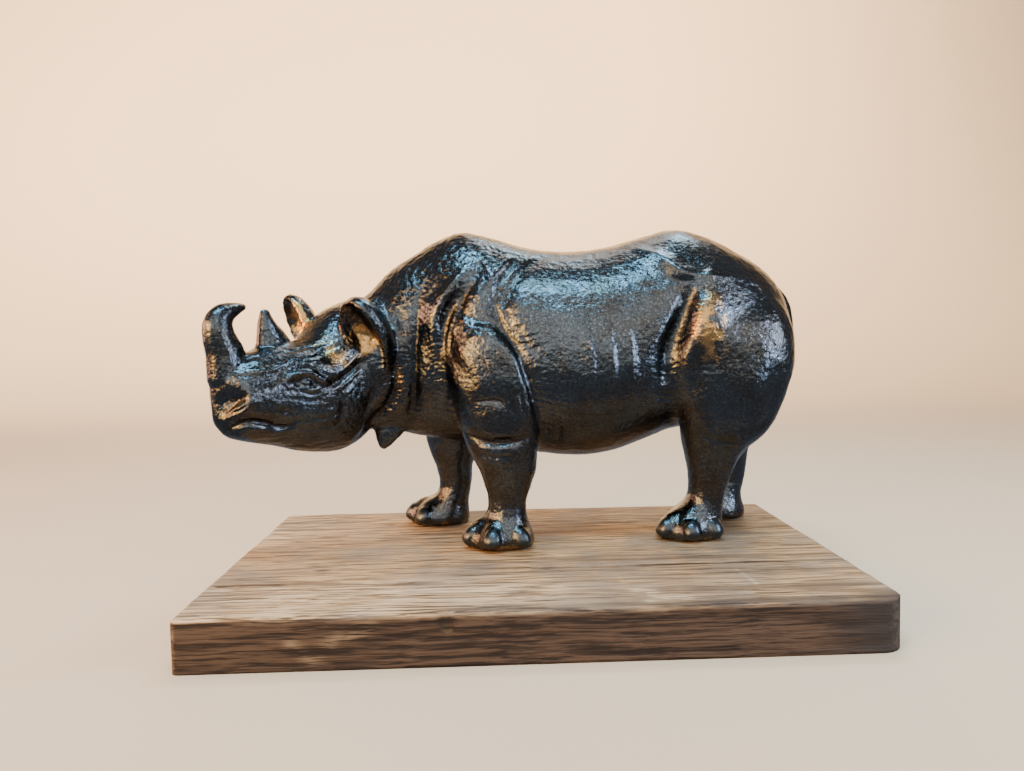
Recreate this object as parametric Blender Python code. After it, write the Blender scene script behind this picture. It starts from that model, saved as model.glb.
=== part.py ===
# Cast metal rhinoceros walking on a flat wooden board.
# Metres, +Z up. The origin is the middle of the board's underside.
# The figure faces -X and turns its head towards -Y.

import math

import bmesh
import bpy
import numpy as np
from mathutils import Vector
from mathutils.bvhtree import BVHTree

# Board sizes
BOARD_LENGTH = 0.120
BOARD_DEPTH = 0.074
BOARD_THICKNESS = 0.009
CORNER_RADIUS = 0.0009
WORN_CORNER_RADIUS = 0.0045
ARRIS_WEAR = 0.0006

# Figure sizes and its place on the board
FIGURE_LENGTH = 0.1275
HEEL_TO_BOARD_END = 0.0074
HOOF_TO_BOARD_BACK = 0.0057
SEAT_GAP = 0.0003

# The figure is shaped in its own units, this many along its length. They are counted
# from a point on the ground under the middle of its body.
UNITS_PER_LENGTH = 127.5
HEAD_YAW = math.radians(45.0)
POLL = (-40.5, -6.0)
HEEL_REACH = 52.6
HOOF_REACH = 17.3

# Fineness of the shaping
SECTION_SIDES = 40
RINGS_PER_STEP = 4
VOXEL = 0.6
FINE_VOXEL = 0.45
FIGURE_TRIANGLES = 9300
BLENDING_PASSES = 14
FINISHING_PASSES = 2
SOLE_FLATNESS = 0.2

# Flanks, by the sign of y, and how far the far limbs' folds lie from the near ones'
NEAR = -1.0
FAR = 1.0
FAR_FORE_SHIFT = -8.0
FAR_HIND_SHIFT = 2.0


def clear_scene():
    for item in list(bpy.data.objects):
        bpy.data.objects.remove(item)


def material(name, colour, metallic, roughness):
    made = bpy.data.materials.new(name)
    made.use_nodes = True
    shader = made.node_tree.nodes["Principled BSDF"]
    shader.inputs["Base Color"].default_value = (*colour, 1.0)
    shader.inputs["Metallic"].default_value = metallic
    shader.inputs["Roughness"].default_value = roughness
    return made


def object_from(bm, name):
    mesh = bpy.data.meshes.new(name)
    bm.to_mesh(mesh)
    bm.free()
    made = bpy.data.objects.new(name, mesh)
    bpy.context.collection.objects.link(made)
    return made


# Lofting

def spread(stations, steps=RINGS_PER_STEP):
    """Rows between the given stations, on a smooth curve through them."""
    rows = np.array(stations, float)
    padded = np.vstack([2 * rows[0] - rows[1], rows, 2 * rows[-1] - rows[-2]])
    out = []
    for i in range(len(rows) - 1):
        a, b, c, d = padded[i:i + 4]
        for t in np.linspace(0.0, 1.0, steps, endpoint=False):
            out.append(0.5 * (2 * b + (c - a) * t + (2 * a - 5 * b + 4 * c - d) * t ** 2
                              + (3 * b - a - 3 * c + d) * t ** 3))
    out.append(rows[-1])
    return np.array(out)


def oval(centre, side, up, half, above, below, squareness=2.0):
    """A closed ring: half its width along side, unequal reaches along up."""
    angles = np.linspace(0.0, 2 * math.pi, SECTION_SIDES, endpoint=False)
    c = np.cos(angles)
    s = np.sin(angles)
    across = np.sign(c) * np.abs(c) ** (2.0 / squareness) * half
    rise = np.sign(s) * np.abs(s) ** (2.0 / squareness)
    rise = rise * np.where(s > 0, above, below)
    return np.array(centre) + np.outer(across, side) + np.outer(rise, up)


def loft(bm, rings):
    """A closed skin through the rings, with a flat cap at each end."""
    loops = [[bm.verts.new(p) for p in ring] for ring in rings]
    faces = [bm.faces.new(loops[0][::-1]), bm.faces.new(loops[-1])]
    for a, b in zip(loops, loops[1:]):
        for i in range(len(a)):
            j = (i + 1) % len(a)
            faces.append(bm.faces.new((a[i], a[j], b[j], b[i])))
    bmesh.ops.recalc_face_normals(bm, faces=faces)


def head_place(forward, side, height):
    """A point given along the turned head: forward of the poll, towards its near side, height."""
    c = math.cos(HEAD_YAW)
    s = math.sin(HEAD_YAW)
    return np.array([POLL[0] - c * forward + s * side, POLL[1] - s * forward - c * side, height])


def head_vector(forward, side, height):
    return head_place(forward, side, height) - head_place(0.0, 0.0, 0.0)


# The rhinoceros

def trunk_rings():
    """Rump to neck. Each row: x, y, top, bottom, half width, turn, height share of the widest line."""
    rows = spread([
        (58.7, 0.0, 45.0, 37.0, 3.0, 0.0, 0.50),
        (57.6, 0.0, 50.0, 31.5, 7.5, 0.0, 0.50),
        (55.4, 0.0, 54.8, 27.5, 11.0, 0.0, 0.48),
        (51.5, 0.0, 58.7, 24.0, 14.0, 0.0, 0.46),
        (46.5, 0.0, 61.8, 22.5, 16.0, 0.0, 0.45),
        (40.0, 0.0, 65.1, 22.5, 16.6, 0.0, 0.45),
        (33.0, 0.0, 66.8, 22.8, 16.4, 0.0, 0.44),
        (26.0, 0.0, 65.2, 20.2, 17.0, 0.0, 0.43),
        (18.0, 0.0, 63.1, 17.6, 18.2, 0.0, 0.42),
        (10.0, 0.0, 62.3, 17.0, 18.6, 0.0, 0.42),
        (2.0, 0.0, 63.0, 17.9, 18.0, 0.0, 0.43),
        (-5.0, 0.0, 65.0, 19.0, 16.8, 0.0, 0.45),
        (-10.0, 0.0, 66.4, 20.0, 15.6, 0.0, 0.46),
        (-14.0, 0.0, 66.9, 20.6, 14.4, 0.02, 0.46),
        (-19.0, -0.1, 65.2, 21.2, 13.0, 0.10, 0.46),
        (-24.0, -0.6, 62.2, 22.2, 11.8, 0.24, 0.46),
        (-29.0, -1.8, 58.9, 23.5, 10.8, 0.42, 0.47),
        (-33.5, -3.4, 53.8, 24.6, 9.8, 0.58, 0.48),
        (-38.5, -6.6, 50.5, 26.5, 8.2, 0.72, 0.50)])
    up = (0.0, 0.0, 1.0)
    for x, y, top, bottom, half, turn, share in rows:
        middle = bottom + (top - bottom) * share
        side = (math.sin(turn), -math.cos(turn), 0.0)
        yield oval((x, y, middle), side, up, half, top - middle, middle - bottom, 2.05)


def head_rings():
    """Back of the jaw to the muzzle. Each row: forward, top, bottom, half width, widest share."""
    rows = spread([
        (-8.0, 50.0, 27.0, 7.0, 0.50),
        (-4.5, 52.6, 22.6, 8.8, 0.52),
        (0.0, 51.3, 20.4, 9.4, 0.52),
        (3.4, 49.6, 20.1, 9.3, 0.52),
        (8.0, 44.8, 20.6, 8.8, 0.56),
        (12.0, 43.4, 21.5, 8.3, 0.56),
        (16.5, 42.9, 22.9, 7.4, 0.54),
        (21.0, 41.8, 23.9, 6.9, 0.50),
        (24.4, 39.9, 24.9, 6.1, 0.50),
        (26.2, 39.1, 26.0, 4.3, 0.50),
        (27.6, 38.3, 27.6, 2.2, 0.50),
        (28.3, 37.4, 29.2, 0.9, 0.50)])
    for forward, top, bottom, half, share in rows:
        middle = bottom + (top - bottom) * share
        centre = head_place(forward, 0.0, middle)
        yield oval(centre, head_vector(0, 1, 0), (0, 0, 1), half, top - middle, middle - bottom, 2.25)


def leg_rings(rows):
    """Shoulder or hip to sole. Each row: height, x, y, half length, half width."""
    for height, x, y, length, width in spread(rows):
        yield oval((x, y, height), (1, 0, 0), (0, 1, 0), length, width, width, 2.2)


LEGS = {
    "near fore": [
        (51.0, -10.0, -9.5, 4.0, 2.5), (44.0, -9.4, -11.4, 7.0, 5.4), (36.0, -8.2, -12.0, 8.4, 6.4),
        (28.0, -6.5, -11.8, 8.4, 6.6), (21.4, -5.8, -11.5, 7.6, 6.3), (16.0, -4.6, -11.3, 6.1, 5.5),
        (12.7, -4.6, -11.2, 5.0, 4.9), (9.5, -4.8, -11.1, 4.1, 4.3), (6.9, -5.0, -11.1, 4.2, 4.4),
        (4.4, -5.4, -11.2, 5.3, 5.0), (1.8, -6.3, -11.3, 7.2, 6.0), (-1.0, -6.3, -11.3, 7.2, 6.0)],
    "far fore": [
        (51.0, -10.5, 9.5, 4.0, 2.5), (44.0, -11.5, 11.4, 7.0, 5.4), (36.0, -12.6, 12.0, 8.4, 6.4),
        (28.0, -14.4, 11.8, 8.2, 6.6), (21.4, -16.3, 11.5, 7.4, 6.3), (17.0, -17.0, 11.3, 5.8, 5.5),
        (13.6, -17.0, 11.2, 4.4, 4.9), (10.0, -16.6, 11.1, 4.0, 4.3), (7.6, -17.0, 11.1, 3.8, 4.4),
        (4.6, -18.8, 11.2, 5.1, 5.0), (1.8, -20.4, 11.3, 7.0, 6.0), (-1.0, -20.4, 11.3, 7.0, 6.0)],
    "near hind": [
        (54.0, 44.5, -8.0, 7.0, 3.0), (46.0, 44.6, -10.4, 11.2, 6.0), (37.0, 44.2, -11.2, 12.0, 6.8),
        (29.0, 43.0, -10.8, 11.0, 6.8), (22.7, 41.7, -10.0, 9.2, 6.2), (18.8, 39.8, -9.3, 6.6, 5.6),
        (14.4, 39.0, -8.8, 4.8, 4.8), (10.0, 38.4, -8.4, 4.0, 4.2), (7.8, 38.0, -8.2, 4.1, 4.3),
        (5.0, 36.0, -8.1, 5.7, 5.0), (1.8, 34.6, -8.0, 7.2, 6.0), (-1.0, 34.6, -8.0, 7.2, 6.0)],
    "far hind": [
        (54.0, 45.0, 8.0, 7.0, 3.0), (46.0, 45.5, 10.4, 11.0, 6.0), (37.0, 46.0, 11.2, 11.0, 6.8),
        (29.0, 46.6, 11.0, 9.6, 6.8), (22.7, 47.6, 10.6, 7.8, 6.2), (18.8, 48.2, 10.3, 6.0, 5.6),
        (14.4, 48.4, 10.1, 4.8, 4.8), (10.5, 48.6, 10.0, 4.2, 4.2), (7.4, 47.8, 10.0, 4.2, 4.3),
        (4.8, 46.0, 10.0, 5.6, 5.0), (1.8, 45.4, 10.0, 7.2, 6.0), (-1.0, 45.4, 10.0, 7.2, 6.0)],
}

# The middle of each foot and the ways that its three toes point, in degrees
FEET = (
    (-6.3, -11.3, (195, 253, 311)),
    (-20.4, 11.3, (125, 180, 235)),
    (34.6, -8.0, (207, 262, 312)),
    (45.4, 10.0, (128, 184, 240)),
)
FOOT_HALF_LENGTH = 7.2
FOOT_HALF_WIDTH = 6.0
TOE_REACH = 0.64

# Each ear: side of the head, how far its mouth turns outwards, and its middle line from root
# to tip as forward, side, height, half width and half depth
EARS = (
    (1.0, 0.30, [
        (-4.8, 7.6, 36.0, 2.8, 2.4), (-3.7, 8.8, 38.6, 3.8, 3.4), (-2.4, 9.8, 41.2, 4.6, 4.0),
        (-0.9, 10.6, 44.2, 5.1, 4.3), (1.2, 11.0, 47.4, 5.0, 4.0), (3.2, 11.0, 50.0, 3.9, 3.2),
        (4.4, 10.8, 51.6, 1.8, 1.5)]),
    (-1.0, 0.10, [
        (1.4, 6.6, 40.4, 2.4, 2.0), (1.8, 7.8, 42.8, 3.2, 2.7), (1.9, 9.2, 45.2, 3.9, 3.2),
        (2.2, 10.2, 47.6, 4.1, 3.3), (2.9, 10.8, 50.0, 3.8, 3.1), (4.2, 10.8, 52.2, 2.8, 2.3),
        (5.1, 10.5, 53.4, 1.3, 1.2)]),
)


def tube(bm, rows, side, squareness=2.0, steps=RINGS_PER_STEP):
    """A limb along a bent middle line. Each row: the three places, half width, half thickness."""
    dense = spread(rows, steps)
    middles = dense[:, :3]
    run = np.gradient(middles, axis=0)
    rings = []
    for middle, way, row in zip(middles, run, dense):
        way = way / np.linalg.norm(way)
        across = np.array(side) - way * np.dot(side, way)
        across = across / np.linalg.norm(across)
        rings.append(oval(middle, across, np.cross(way, across), row[3], row[4], row[4], squareness))
    loft(bm, rings)


def add_horns(bm):
    """The front horn rises and is bent sharply back at its top; the second is a short blunt cone."""
    front = [(24.6, 36.5, 3.4, 4.2), (25.1, 41.2, 3.1, 3.8), (26.2, 44.5, 2.8, 3.2), (26.3, 47.2, 2.5, 2.9),
             (25.0, 49.1, 2.1, 2.2), (22.7, 50.1, 1.4, 1.3), (20.5, 50.6, 0.6, 0.6)]
    second = [(14.9, 40.5, 2.9, 4.4), (15.2, 43.4, 2.4, 3.7), (16.3, 46.8, 1.7, 2.1), (16.7, 50.2, 0.8, 0.8)]
    for rows in (front, second):
        placed = [(*head_place(forward, 0.0, height), half, thick) for forward, height, half, thick in rows]
        tube(bm, placed, head_vector(0, 1, 0))


def ear(side, turned, rows):
    """A cup of flesh standing at the back of the head, hollowed towards the front."""
    across = head_vector(-math.sin(turned), side * math.cos(turned), 0.0)
    outside = [(*head_place(u, side * v, w), half, thick) for u, v, w, half, thick in rows]
    rise = np.array(outside[-1][:3]) - np.array(outside[0][:3])
    opening = head_vector(math.cos(turned), side * math.sin(turned), 0.0)
    opening = opening - rise * (np.dot(opening, rise) / np.dot(rise, rise))
    opening = opening / np.linalg.norm(opening)
    bm = bmesh.new()
    tube(bm, outside, across)
    shell = object_from(bm, "ear")
    inside = []
    for x, y, z, half, thick in outside[1:]:
        shift = opening * thick * 0.62
        inside.append((x + shift[0], y + shift[1], z + shift[2] - 0.5, half * 0.76, thick * 0.95))
    bm = bmesh.new()
    tube(bm, inside, across)
    hollow = object_from(bm, "ear hollow")
    hollow.hide_render = True
    hollow.display_type = "WIRE"
    cut = shell.modifiers.new("hollow", "BOOLEAN")
    cut.operation = "DIFFERENCE"
    cut.solver = "EXACT"
    cut.object = hollow
    apply_modifiers(shell)
    bpy.data.objects.remove(hollow)
    return shell


def add_tail(bm):
    rows = [(55.0, 0.0, 53.0, 2.2, 2.0), (57.8, 0.0, 50.0, 1.9, 1.7), (59.0, -0.2, 45.0, 1.6, 1.5),
            (59.0, -0.6, 39.0, 1.5, 1.4), (57.9, -1.0, 33.0, 1.7, 1.3), (56.8, -1.3, 29.0, 1.0, 0.8)]
    tube(bm, rows, (0, 1, 0))


def add_dewlap(bm):
    """A pointed flap of skin hanging under the throat."""
    rows = [(-29.5, -4.0, 28.0, 4.6, 2.2), (-30.2, -4.6, 24.6, 3.6, 1.7), (-31.0, -5.0, 22.0, 2.2, 1.2),
            (-31.6, -5.2, 19.8, 0.7, 0.6)]
    tube(bm, rows, (1, 0, 0))


def add_toes(bm):
    """Three rounded toes to a foot. Each toe's row: outwards, height, half width, half thickness."""
    toe = [(-2.4, 5.0, 1.6, 1.4), (-0.6, 3.9, 2.1, 1.9), (1.0, 2.7, 2.4, 2.2), (2.2, 1.5, 2.3, 2.0),
           (2.9, 0.5, 1.9, 1.5)]
    sole = np.array([FOOT_HALF_LENGTH, FOOT_HALF_WIDTH, 0.0])
    for x, y, ways in FEET:
        for degrees in ways:
            way = math.radians(degrees)
            out = np.array([math.cos(way), math.sin(way), 0.0])
            root = np.array([x, y, 0.0]) + out * sole * TOE_REACH
            rows = []
            for along, height, half, thick in toe:
                rows.append((root[0] + out[0] * along, root[1] + out[1] * along, height, half, thick))
            tube(bm, rows, (-out[1], out[0], 0.0))


def apply_modifiers(item):
    graph = bpy.context.evaluated_depsgraph_get()
    mesh = bpy.data.meshes.new_from_object(item.evaluated_get(graph))
    item.modifiers.clear()
    old = item.data
    item.data = mesh
    bpy.data.meshes.remove(old)


def fuse(item, voxel, smoothing):
    """One closed skin over all the overlapping forms, with the joins softened."""
    remesh = item.modifiers.new("one skin", "REMESH")
    remesh.mode = "VOXEL"
    remesh.voxel_size = voxel
    remesh.adaptivity = 0.0
    if smoothing:
        soften = item.modifiers.new("soften", "SMOOTH")
        soften.factor = 0.5
        soften.iterations = smoothing
    apply_modifiers(item)


# Carving

class Skin:
    """The surface's vertices as arrays, pushed in and out along their normals."""

    def __init__(self, item):
        self.mesh = item.data
        self.read()

    def read(self):
        count = len(self.mesh.vertices)
        places = np.empty(count * 3)
        self.mesh.vertices.foreach_get("co", places)
        self.places = places.reshape(count, 3)
        normals = np.empty(count * 3)
        self.mesh.vertices.foreach_get("normal", normals)
        self.normals = normals.reshape(count, 3)
        bm = bmesh.new()
        bm.from_mesh(self.mesh)
        self.tree = BVHTree.FromBMesh(bm)
        bm.free()

    def write(self):
        self.mesh.vertices.foreach_set("co", self.places.ravel())
        self.mesh.update()
        self.read()

    def seat(self, points, towards):
        """The given points moved onto the surface along one direction."""
        found = []
        for point in points:
            start = Vector(point - np.array(towards) * 60.0)
            hit = self.tree.ray_cast(start, Vector(towards))[0]
            if hit is not None:
                found.append(hit)
        return np.array(found)

    def near(self, path):
        """Each vertex's distance from a path, its share along it, and which side of it it is on."""
        best = np.full(len(self.places), np.inf)
        share = np.zeros(len(self.places))
        left = np.zeros(len(self.places))
        last = len(path) - 1
        for i, (a, b) in enumerate(zip(path, path[1:])):
            way = b - a
            length = max(float(np.dot(way, way)), 1e-9)
            t = np.clip((self.places - a) @ way / length, 0.0, 1.0)
            off = self.places - (a + np.outer(t, way))
            gap = np.linalg.norm(off, axis=1)
            closer = gap < best
            best[closer] = gap[closer]
            share[closer] = (i + t[closer]) / last
            left[closer] = np.sum(np.cross(way, off[closer]) * self.normals[closer], axis=1)
        return best, share, left

    def push(self, amount):
        self.places += self.normals * amount[:, None]

    def groove(self, path, width, depth, taper=0.5):
        """A rounded furrow, or a rounded ridge when the depth is negative."""
        gap, share, _ = self.near(path)
        ends = np.clip(np.sin(np.pi * np.clip(share, 0.02, 0.98)), 0.0, 1.0) ** taper
        self.push(-depth * np.exp(-(gap / width) ** 2) * ends)

    def edge(self, path, width, rise, reach):
        """A step: the skin on the path's left stands proud and dies away over the reach."""
        gap, share, left = self.near(path)
        signed = np.where(left > 0, gap, -gap)
        step = 0.5 * (1.0 + np.tanh(signed / width))
        ends = np.sin(np.pi * np.clip(share, 0.03, 0.97)) ** 0.5
        self.push(rise * step * np.exp(-(gap / reach) ** 2) * ends)

    def swell(self, centre, radius, rise):
        """A round mound."""
        gap = np.linalg.norm(self.places - centre, axis=1)
        self.push(rise * np.exp(-(gap / radius) ** 2))


def on_body(skin, side, points, shift=0.0):
    """A path given as x and height on one flank, turned so that its left is always the head's side."""
    rows = spread([(x + shift, z) for x, z in points], 5)
    path = skin.seat([np.array((x, 0.0, z)) for x, z in rows], (0.0, -side, 0.0))
    return path if side > 0 else path[::-1]


def on_head(skin, side, points):
    """A path given as forward and height on one side of the head."""
    rows = spread(points, 5)
    return skin.seat([head_place(u, 0.0, w) for u, w in rows], head_vector(0.0, -side, 0.0))


def carve_flank(skin, side, fore, hind):
    """The folds and plates of one flank; those of the limbs are moved along with each limb."""
    collar = on_body(skin, side, [(-11.8, 56.6), (-15.8, 53.2), (-19.0, 49.1), (-19.5, 45.8),
                                  (-19.1, 42.3)])
    after_collar = on_body(skin, side, [(-9.0, 59.3), (-11.6, 55.1), (-14.8, 50.4), (-16.7, 46.4),
                                        (-16.8, 41.9)])
    before_ribs = on_body(skin, side, [(2.8, 60.5), (-2.7, 57.0), (-4.6, 53.4), (-5.8, 49.3), (-3.7, 44.6),
                                       (0.2, 40.5)])
    throat = on_body(skin, side, [(-22.8, 47.5), (-23.6, 39.3), (-24.2, 30.8), (-24.8, 25.0)])
    skin.groove(collar, 1.8, -1.2)
    skin.groove(after_collar, 1.5, 1.3)
    skin.groove(before_ribs, 1.6, 1.5)
    skin.groove(throat, 1.4, 1.1)
    blade_front = on_body(skin, side, [(-11.1, 47.4), (-14.6, 43.0), (-15.4, 39.8), (-13.4, 36.6),
                                       (-11.2, 33.4)], fore)
    blade_back = on_body(skin, side, [(-11.1, 47.0), (-6.4, 44.6), (-3.0, 40.2), (-1.2, 35.4),
                                      (0.4, 30.0), (1.3, 25.4)], fore)
    elbow = on_body(skin, side, [(-10.8, 30.6), (-8.4, 30.8), (-5.4, 30.2)], fore)
    forearm = on_body(skin, side, [(-13.1, 24.2), (-10.2, 22.9), (-7.8, 22.3), (-4.1, 22.3),
                                   (-0.6, 23.1)], fore)
    skin.edge(blade_back, 0.6, 1.4, 5.0)
    skin.groove(blade_back, 1.2, 0.5)
    skin.groove(blade_front, 1.6, 0.5)
    skin.groove(elbow, 1.0, 0.6)
    skin.groove(forearm, 1.0, 0.9)
    hip = on_body(skin, side, [(25.9, 60.9), (29.1, 58.7), (31.2, 56.7), (34.2, 55.4), (40.0, 55.2)])
    pocket = on_body(skin, side, [(35.0, 53.4), (33.2, 50.4), (31.8, 46.6), (29.8, 42.6), (28.4, 38.0),
                                  (28.4, 32.0)])
    thigh = on_body(skin, side, [(32.0, 26.0), (31.3, 36.5), (31.6, 40.3), (33.2, 44.6), (33.9, 49.2),
                                 (35.6, 53.4)])
    skin.groove(hip, 2.0, -0.8)
    skin.groove(pocket, 2.6, 1.5)
    skin.edge(thigh, 0.7, 1.6, 6.0)
    ham = on_body(skin, side, [(49.0, 25.0), (50.5, 31.0), (50.5, 38.0)], hind)
    skin.groove(ham, 2.4, 0.7)
    for number in range(3):
        x = 11.4 + 4.4 * number
        rib = on_body(skin, side, [(x, 46.0), (x + 0.4, 38.7), (x + 1.2, 28.5)])
        skin.groove(rib, 1.1, -0.4)


def carve_head(skin, side):
    """Eye, nostril, mouth and the main creases of one side of the face."""
    lid = on_head(skin, side, [(16.0, 35.0), (14.5, 36.9), (12.1, 37.6), (10.0, 36.7), (8.5, 35.0)])
    under = on_head(skin, side, [(15.6, 34.8), (13.4, 33.9), (11.4, 33.8), (9.0, 34.8)])
    crease = on_head(skin, side, [(9.0, 34.7), (5.6, 36.1), (2.9, 37.6), (-0.3, 39.5)])
    brow = on_head(skin, side, [(16.5, 38.9), (12.2, 39.6), (9.4, 38.8), (6.7, 37.0)])
    nostril = on_head(skin, side, [(27.7, 30.9), (27.2, 32.6), (25.9, 33.6), (24.7, 33.3)])
    flare = on_head(skin, side, [(27.4, 29.9), (25.6, 30.6), (23.9, 32.4), (24.0, 34.2)])
    mouth = on_head(skin, side, [(26.6, 27.0), (25.4, 28.3), (23.2, 28.6), (20.8, 28.0),
                                 (17.7, 27.1), (15.2, 27.3)])
    jaw = on_head(skin, side, [(-5.4, 39.0), (-5.9, 35.0), (-5.6, 31.0), (-4.2, 27.0), (-1.0, 23.2)])
    eye = on_head(skin, side, [(12.6, 35.4), (12.4, 35.4)])[0]
    skin.swell(eye, 3.0, -0.6)
    skin.swell(eye, 1.4, 0.6)
    skin.groove(lid, 0.8, -0.7)
    skin.groove(under, 0.7, -0.4)
    skin.groove(crease, 0.9, 0.6)
    skin.groove(brow, 1.3, -0.7)
    skin.groove(nostril, 0.9, 1.5)
    skin.groove(flare, 0.8, -0.7)
    skin.groove(mouth, 0.8, 1.0)
    skin.groove(jaw, 1.4, 0.9)


def build_rhinoceros():
    bm = bmesh.new()
    loft(bm, list(trunk_rings()))
    loft(bm, list(head_rings()))
    for rows in LEGS.values():
        loft(bm, list(leg_rings(rows)))
    item = object_from(bm, "rhinoceros")
    fuse(item, VOXEL, BLENDING_PASSES)
    skin = Skin(item)
    for side, fore, hind in ((NEAR, 0.0, 0.0), (FAR, FAR_FORE_SHIFT, FAR_HIND_SHIFT)):
        carve_flank(skin, side, fore, hind)
        skin.write()
        carve_head(skin, -side)
        skin.write()
    bm = bmesh.new()
    bm.from_mesh(item.data)
    for side, turned, rows in EARS:
        shell = ear(side, turned, rows)
        bm.from_mesh(shell.data)
        bpy.data.objects.remove(shell)
    add_horns(bm)
    add_tail(bm)
    add_dewlap(bm)
    add_toes(bm)
    bm.to_mesh(item.data)
    bm.free()
    fuse(item, FINE_VOXEL, FINISHING_PASSES)
    cut_soles(item)
    thin_out(item)
    place(item)
    return item


def cut_soles(item):
    bm = bmesh.new()
    bm.from_mesh(item.data)
    parts = bm.verts[:] + bm.edges[:] + bm.faces[:]
    bmesh.ops.bisect_plane(bm, geom=parts, plane_co=(0, 0, 0), plane_no=(0, 0, -1), clear_outer=True)
    rims = [edge for edge in bm.edges if edge.is_boundary]
    bmesh.ops.holes_fill(bm, edges=rims)
    bmesh.ops.triangulate(bm, faces=bm.faces[:])
    bm.to_mesh(item.data)
    bm.free()


def thin_out(item):
    """Fewer facets, with more of them kept on the head and the feet."""
    plain = item.vertex_groups.new(name="plain")
    middle = head_place(10.0, 0.0, 38.0)
    for vertex in item.data.vertices:
        gap = np.linalg.norm(np.array(vertex.co) - middle)
        weight = 0.55 + 0.45 * min(1.0, max(0.0, (gap - 18.0) / 8.0))
        if vertex.co.z < 7.0:
            weight = 0.8
        plain.add([vertex.index], weight, "REPLACE")
    thin = item.modifiers.new("facets", "DECIMATE")
    thin.vertex_group = plain.name
    thin.vertex_group_factor = 1.0
    thin.ratio = FIGURE_TRIANGLES / max(1, len(item.data.polygons))
    apply_modifiers(item)
    item.vertex_groups.clear()


def place(item):
    """From the figure's own units to metres, standing on the board."""
    unit = FIGURE_LENGTH / UNITS_PER_LENGTH
    ahead = BOARD_LENGTH / 2 - HEEL_TO_BOARD_END - HEEL_REACH * unit
    aside = BOARD_DEPTH / 2 - HOOF_TO_BOARD_BACK - HOOF_REACH * unit
    for vertex in item.data.vertices:
        x, y, z = vertex.co
        if z < SOLE_FLATNESS:
            z = 0.0
        vertex.co = (x * unit + ahead, y * unit + aside, z * unit + BOARD_THICKNESS + SEAT_GAP)


# The board

def build_board():
    """A flat slab with its corners and upper and lower edges worn."""
    corners = ((1, -1, -0.5, WORN_CORNER_RADIUS), (1, 1, 0.0, CORNER_RADIUS),
               (-1, 1, 0.5, CORNER_RADIUS), (-1, -1, 1.0, CORNER_RADIUS))
    outline = []
    for sx, sy, quarter, radius in corners:
        start = quarter * math.pi
        middle = (sx * (BOARD_LENGTH / 2 - radius), sy * (BOARD_DEPTH / 2 - radius))
        for turn in np.linspace(0.0, math.pi / 2, 7):
            outline.append((middle[0] + radius * math.cos(start + turn),
                            middle[1] + radius * math.sin(start + turn)))
    bm = bmesh.new()
    verts = [bm.verts.new((x, y, 0.0)) for x, y in outline]
    base = bm.faces.new(verts)
    lifted = bmesh.ops.extrude_face_region(bm, geom=[base])["geom"]
    raised = [item for item in lifted if isinstance(item, bmesh.types.BMVert)]
    bmesh.ops.translate(bm, vec=(0, 0, BOARD_THICKNESS), verts=raised)
    bmesh.ops.recalc_face_normals(bm, faces=bm.faces[:])
    rims = [e for e in bm.edges if abs(e.verts[0].co.z - e.verts[1].co.z) < 1e-6]
    bmesh.ops.bevel(bm, geom=rims, offset=ARRIS_WEAR, segments=2, profile=0.5, affect="EDGES")
    bmesh.ops.triangulate(bm, faces=bm.faces[:])
    return object_from(bm, "board")


def main():
    clear_scene()
    figure = build_rhinoceros()
    figure.data.materials.clear()
    figure.data.materials.append(material("dark cast metal", (0.06, 0.055, 0.05), 0.9, 0.35))
    board = build_board()
    board.data.materials.append(material("weathered hardwood", (0.36, 0.28, 0.21), 0.0, 0.7))


main()
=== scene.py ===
# Dark cast metal rhinoceros on a weathered hardwood board: fine relief, finishes and stage.
# Metres, +Z up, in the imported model's frame. The figure faces -X and turns its head to -Y.

import contextlib
import itertools
import math

import bmesh
import bpy
import numpy as np
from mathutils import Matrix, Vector
from mathutils.bvhtree import BVHTree


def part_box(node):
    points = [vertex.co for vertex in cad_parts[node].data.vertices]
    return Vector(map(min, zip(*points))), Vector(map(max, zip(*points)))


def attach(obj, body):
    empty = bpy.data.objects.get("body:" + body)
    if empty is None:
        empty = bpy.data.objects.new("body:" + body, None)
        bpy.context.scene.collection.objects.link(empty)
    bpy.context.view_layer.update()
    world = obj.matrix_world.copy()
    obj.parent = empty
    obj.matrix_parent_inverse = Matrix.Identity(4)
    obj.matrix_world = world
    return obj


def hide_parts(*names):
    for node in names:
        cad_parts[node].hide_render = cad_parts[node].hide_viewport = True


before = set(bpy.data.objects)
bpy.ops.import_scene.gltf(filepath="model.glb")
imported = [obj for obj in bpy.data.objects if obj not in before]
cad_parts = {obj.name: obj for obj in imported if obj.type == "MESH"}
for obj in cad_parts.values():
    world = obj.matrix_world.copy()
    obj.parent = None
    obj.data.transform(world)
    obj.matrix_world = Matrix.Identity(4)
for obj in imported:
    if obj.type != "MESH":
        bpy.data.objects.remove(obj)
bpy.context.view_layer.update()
BOARD_LOW, BOARD_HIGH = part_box("board")
FIGURE_LOW, FIGURE_HIGH = [np.array(corner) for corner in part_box("rhinoceros")]
SOLE_HEIGHT = FIGURE_LOW[2]

bl_info = {
    "name": "Rhinoceros Casting",
    "version": (1, 0, 0),
    "blender": (4, 5, 0),
    "location": "View3D > Sidebar > Rhinoceros",
    "description": "A cast metal rhinoceros on a hardwood board, with its relief and finishes",
    "category": "Add Mesh",
}

# The figure's own coordinates are millimetres from the ground under the middle of its body.
MM = 1000.0
SEAT = np.array((0.0, 0.014, SOLE_HEIGHT))
HEAD_YAW = math.radians(45.0)
POLL = (-40.5, -6.0)
NEAR = -1.0
FAR = 1.0
FAR_FORE_SHIFT = -8.0
FAR_HIND_SHIFT = 2.0


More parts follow.
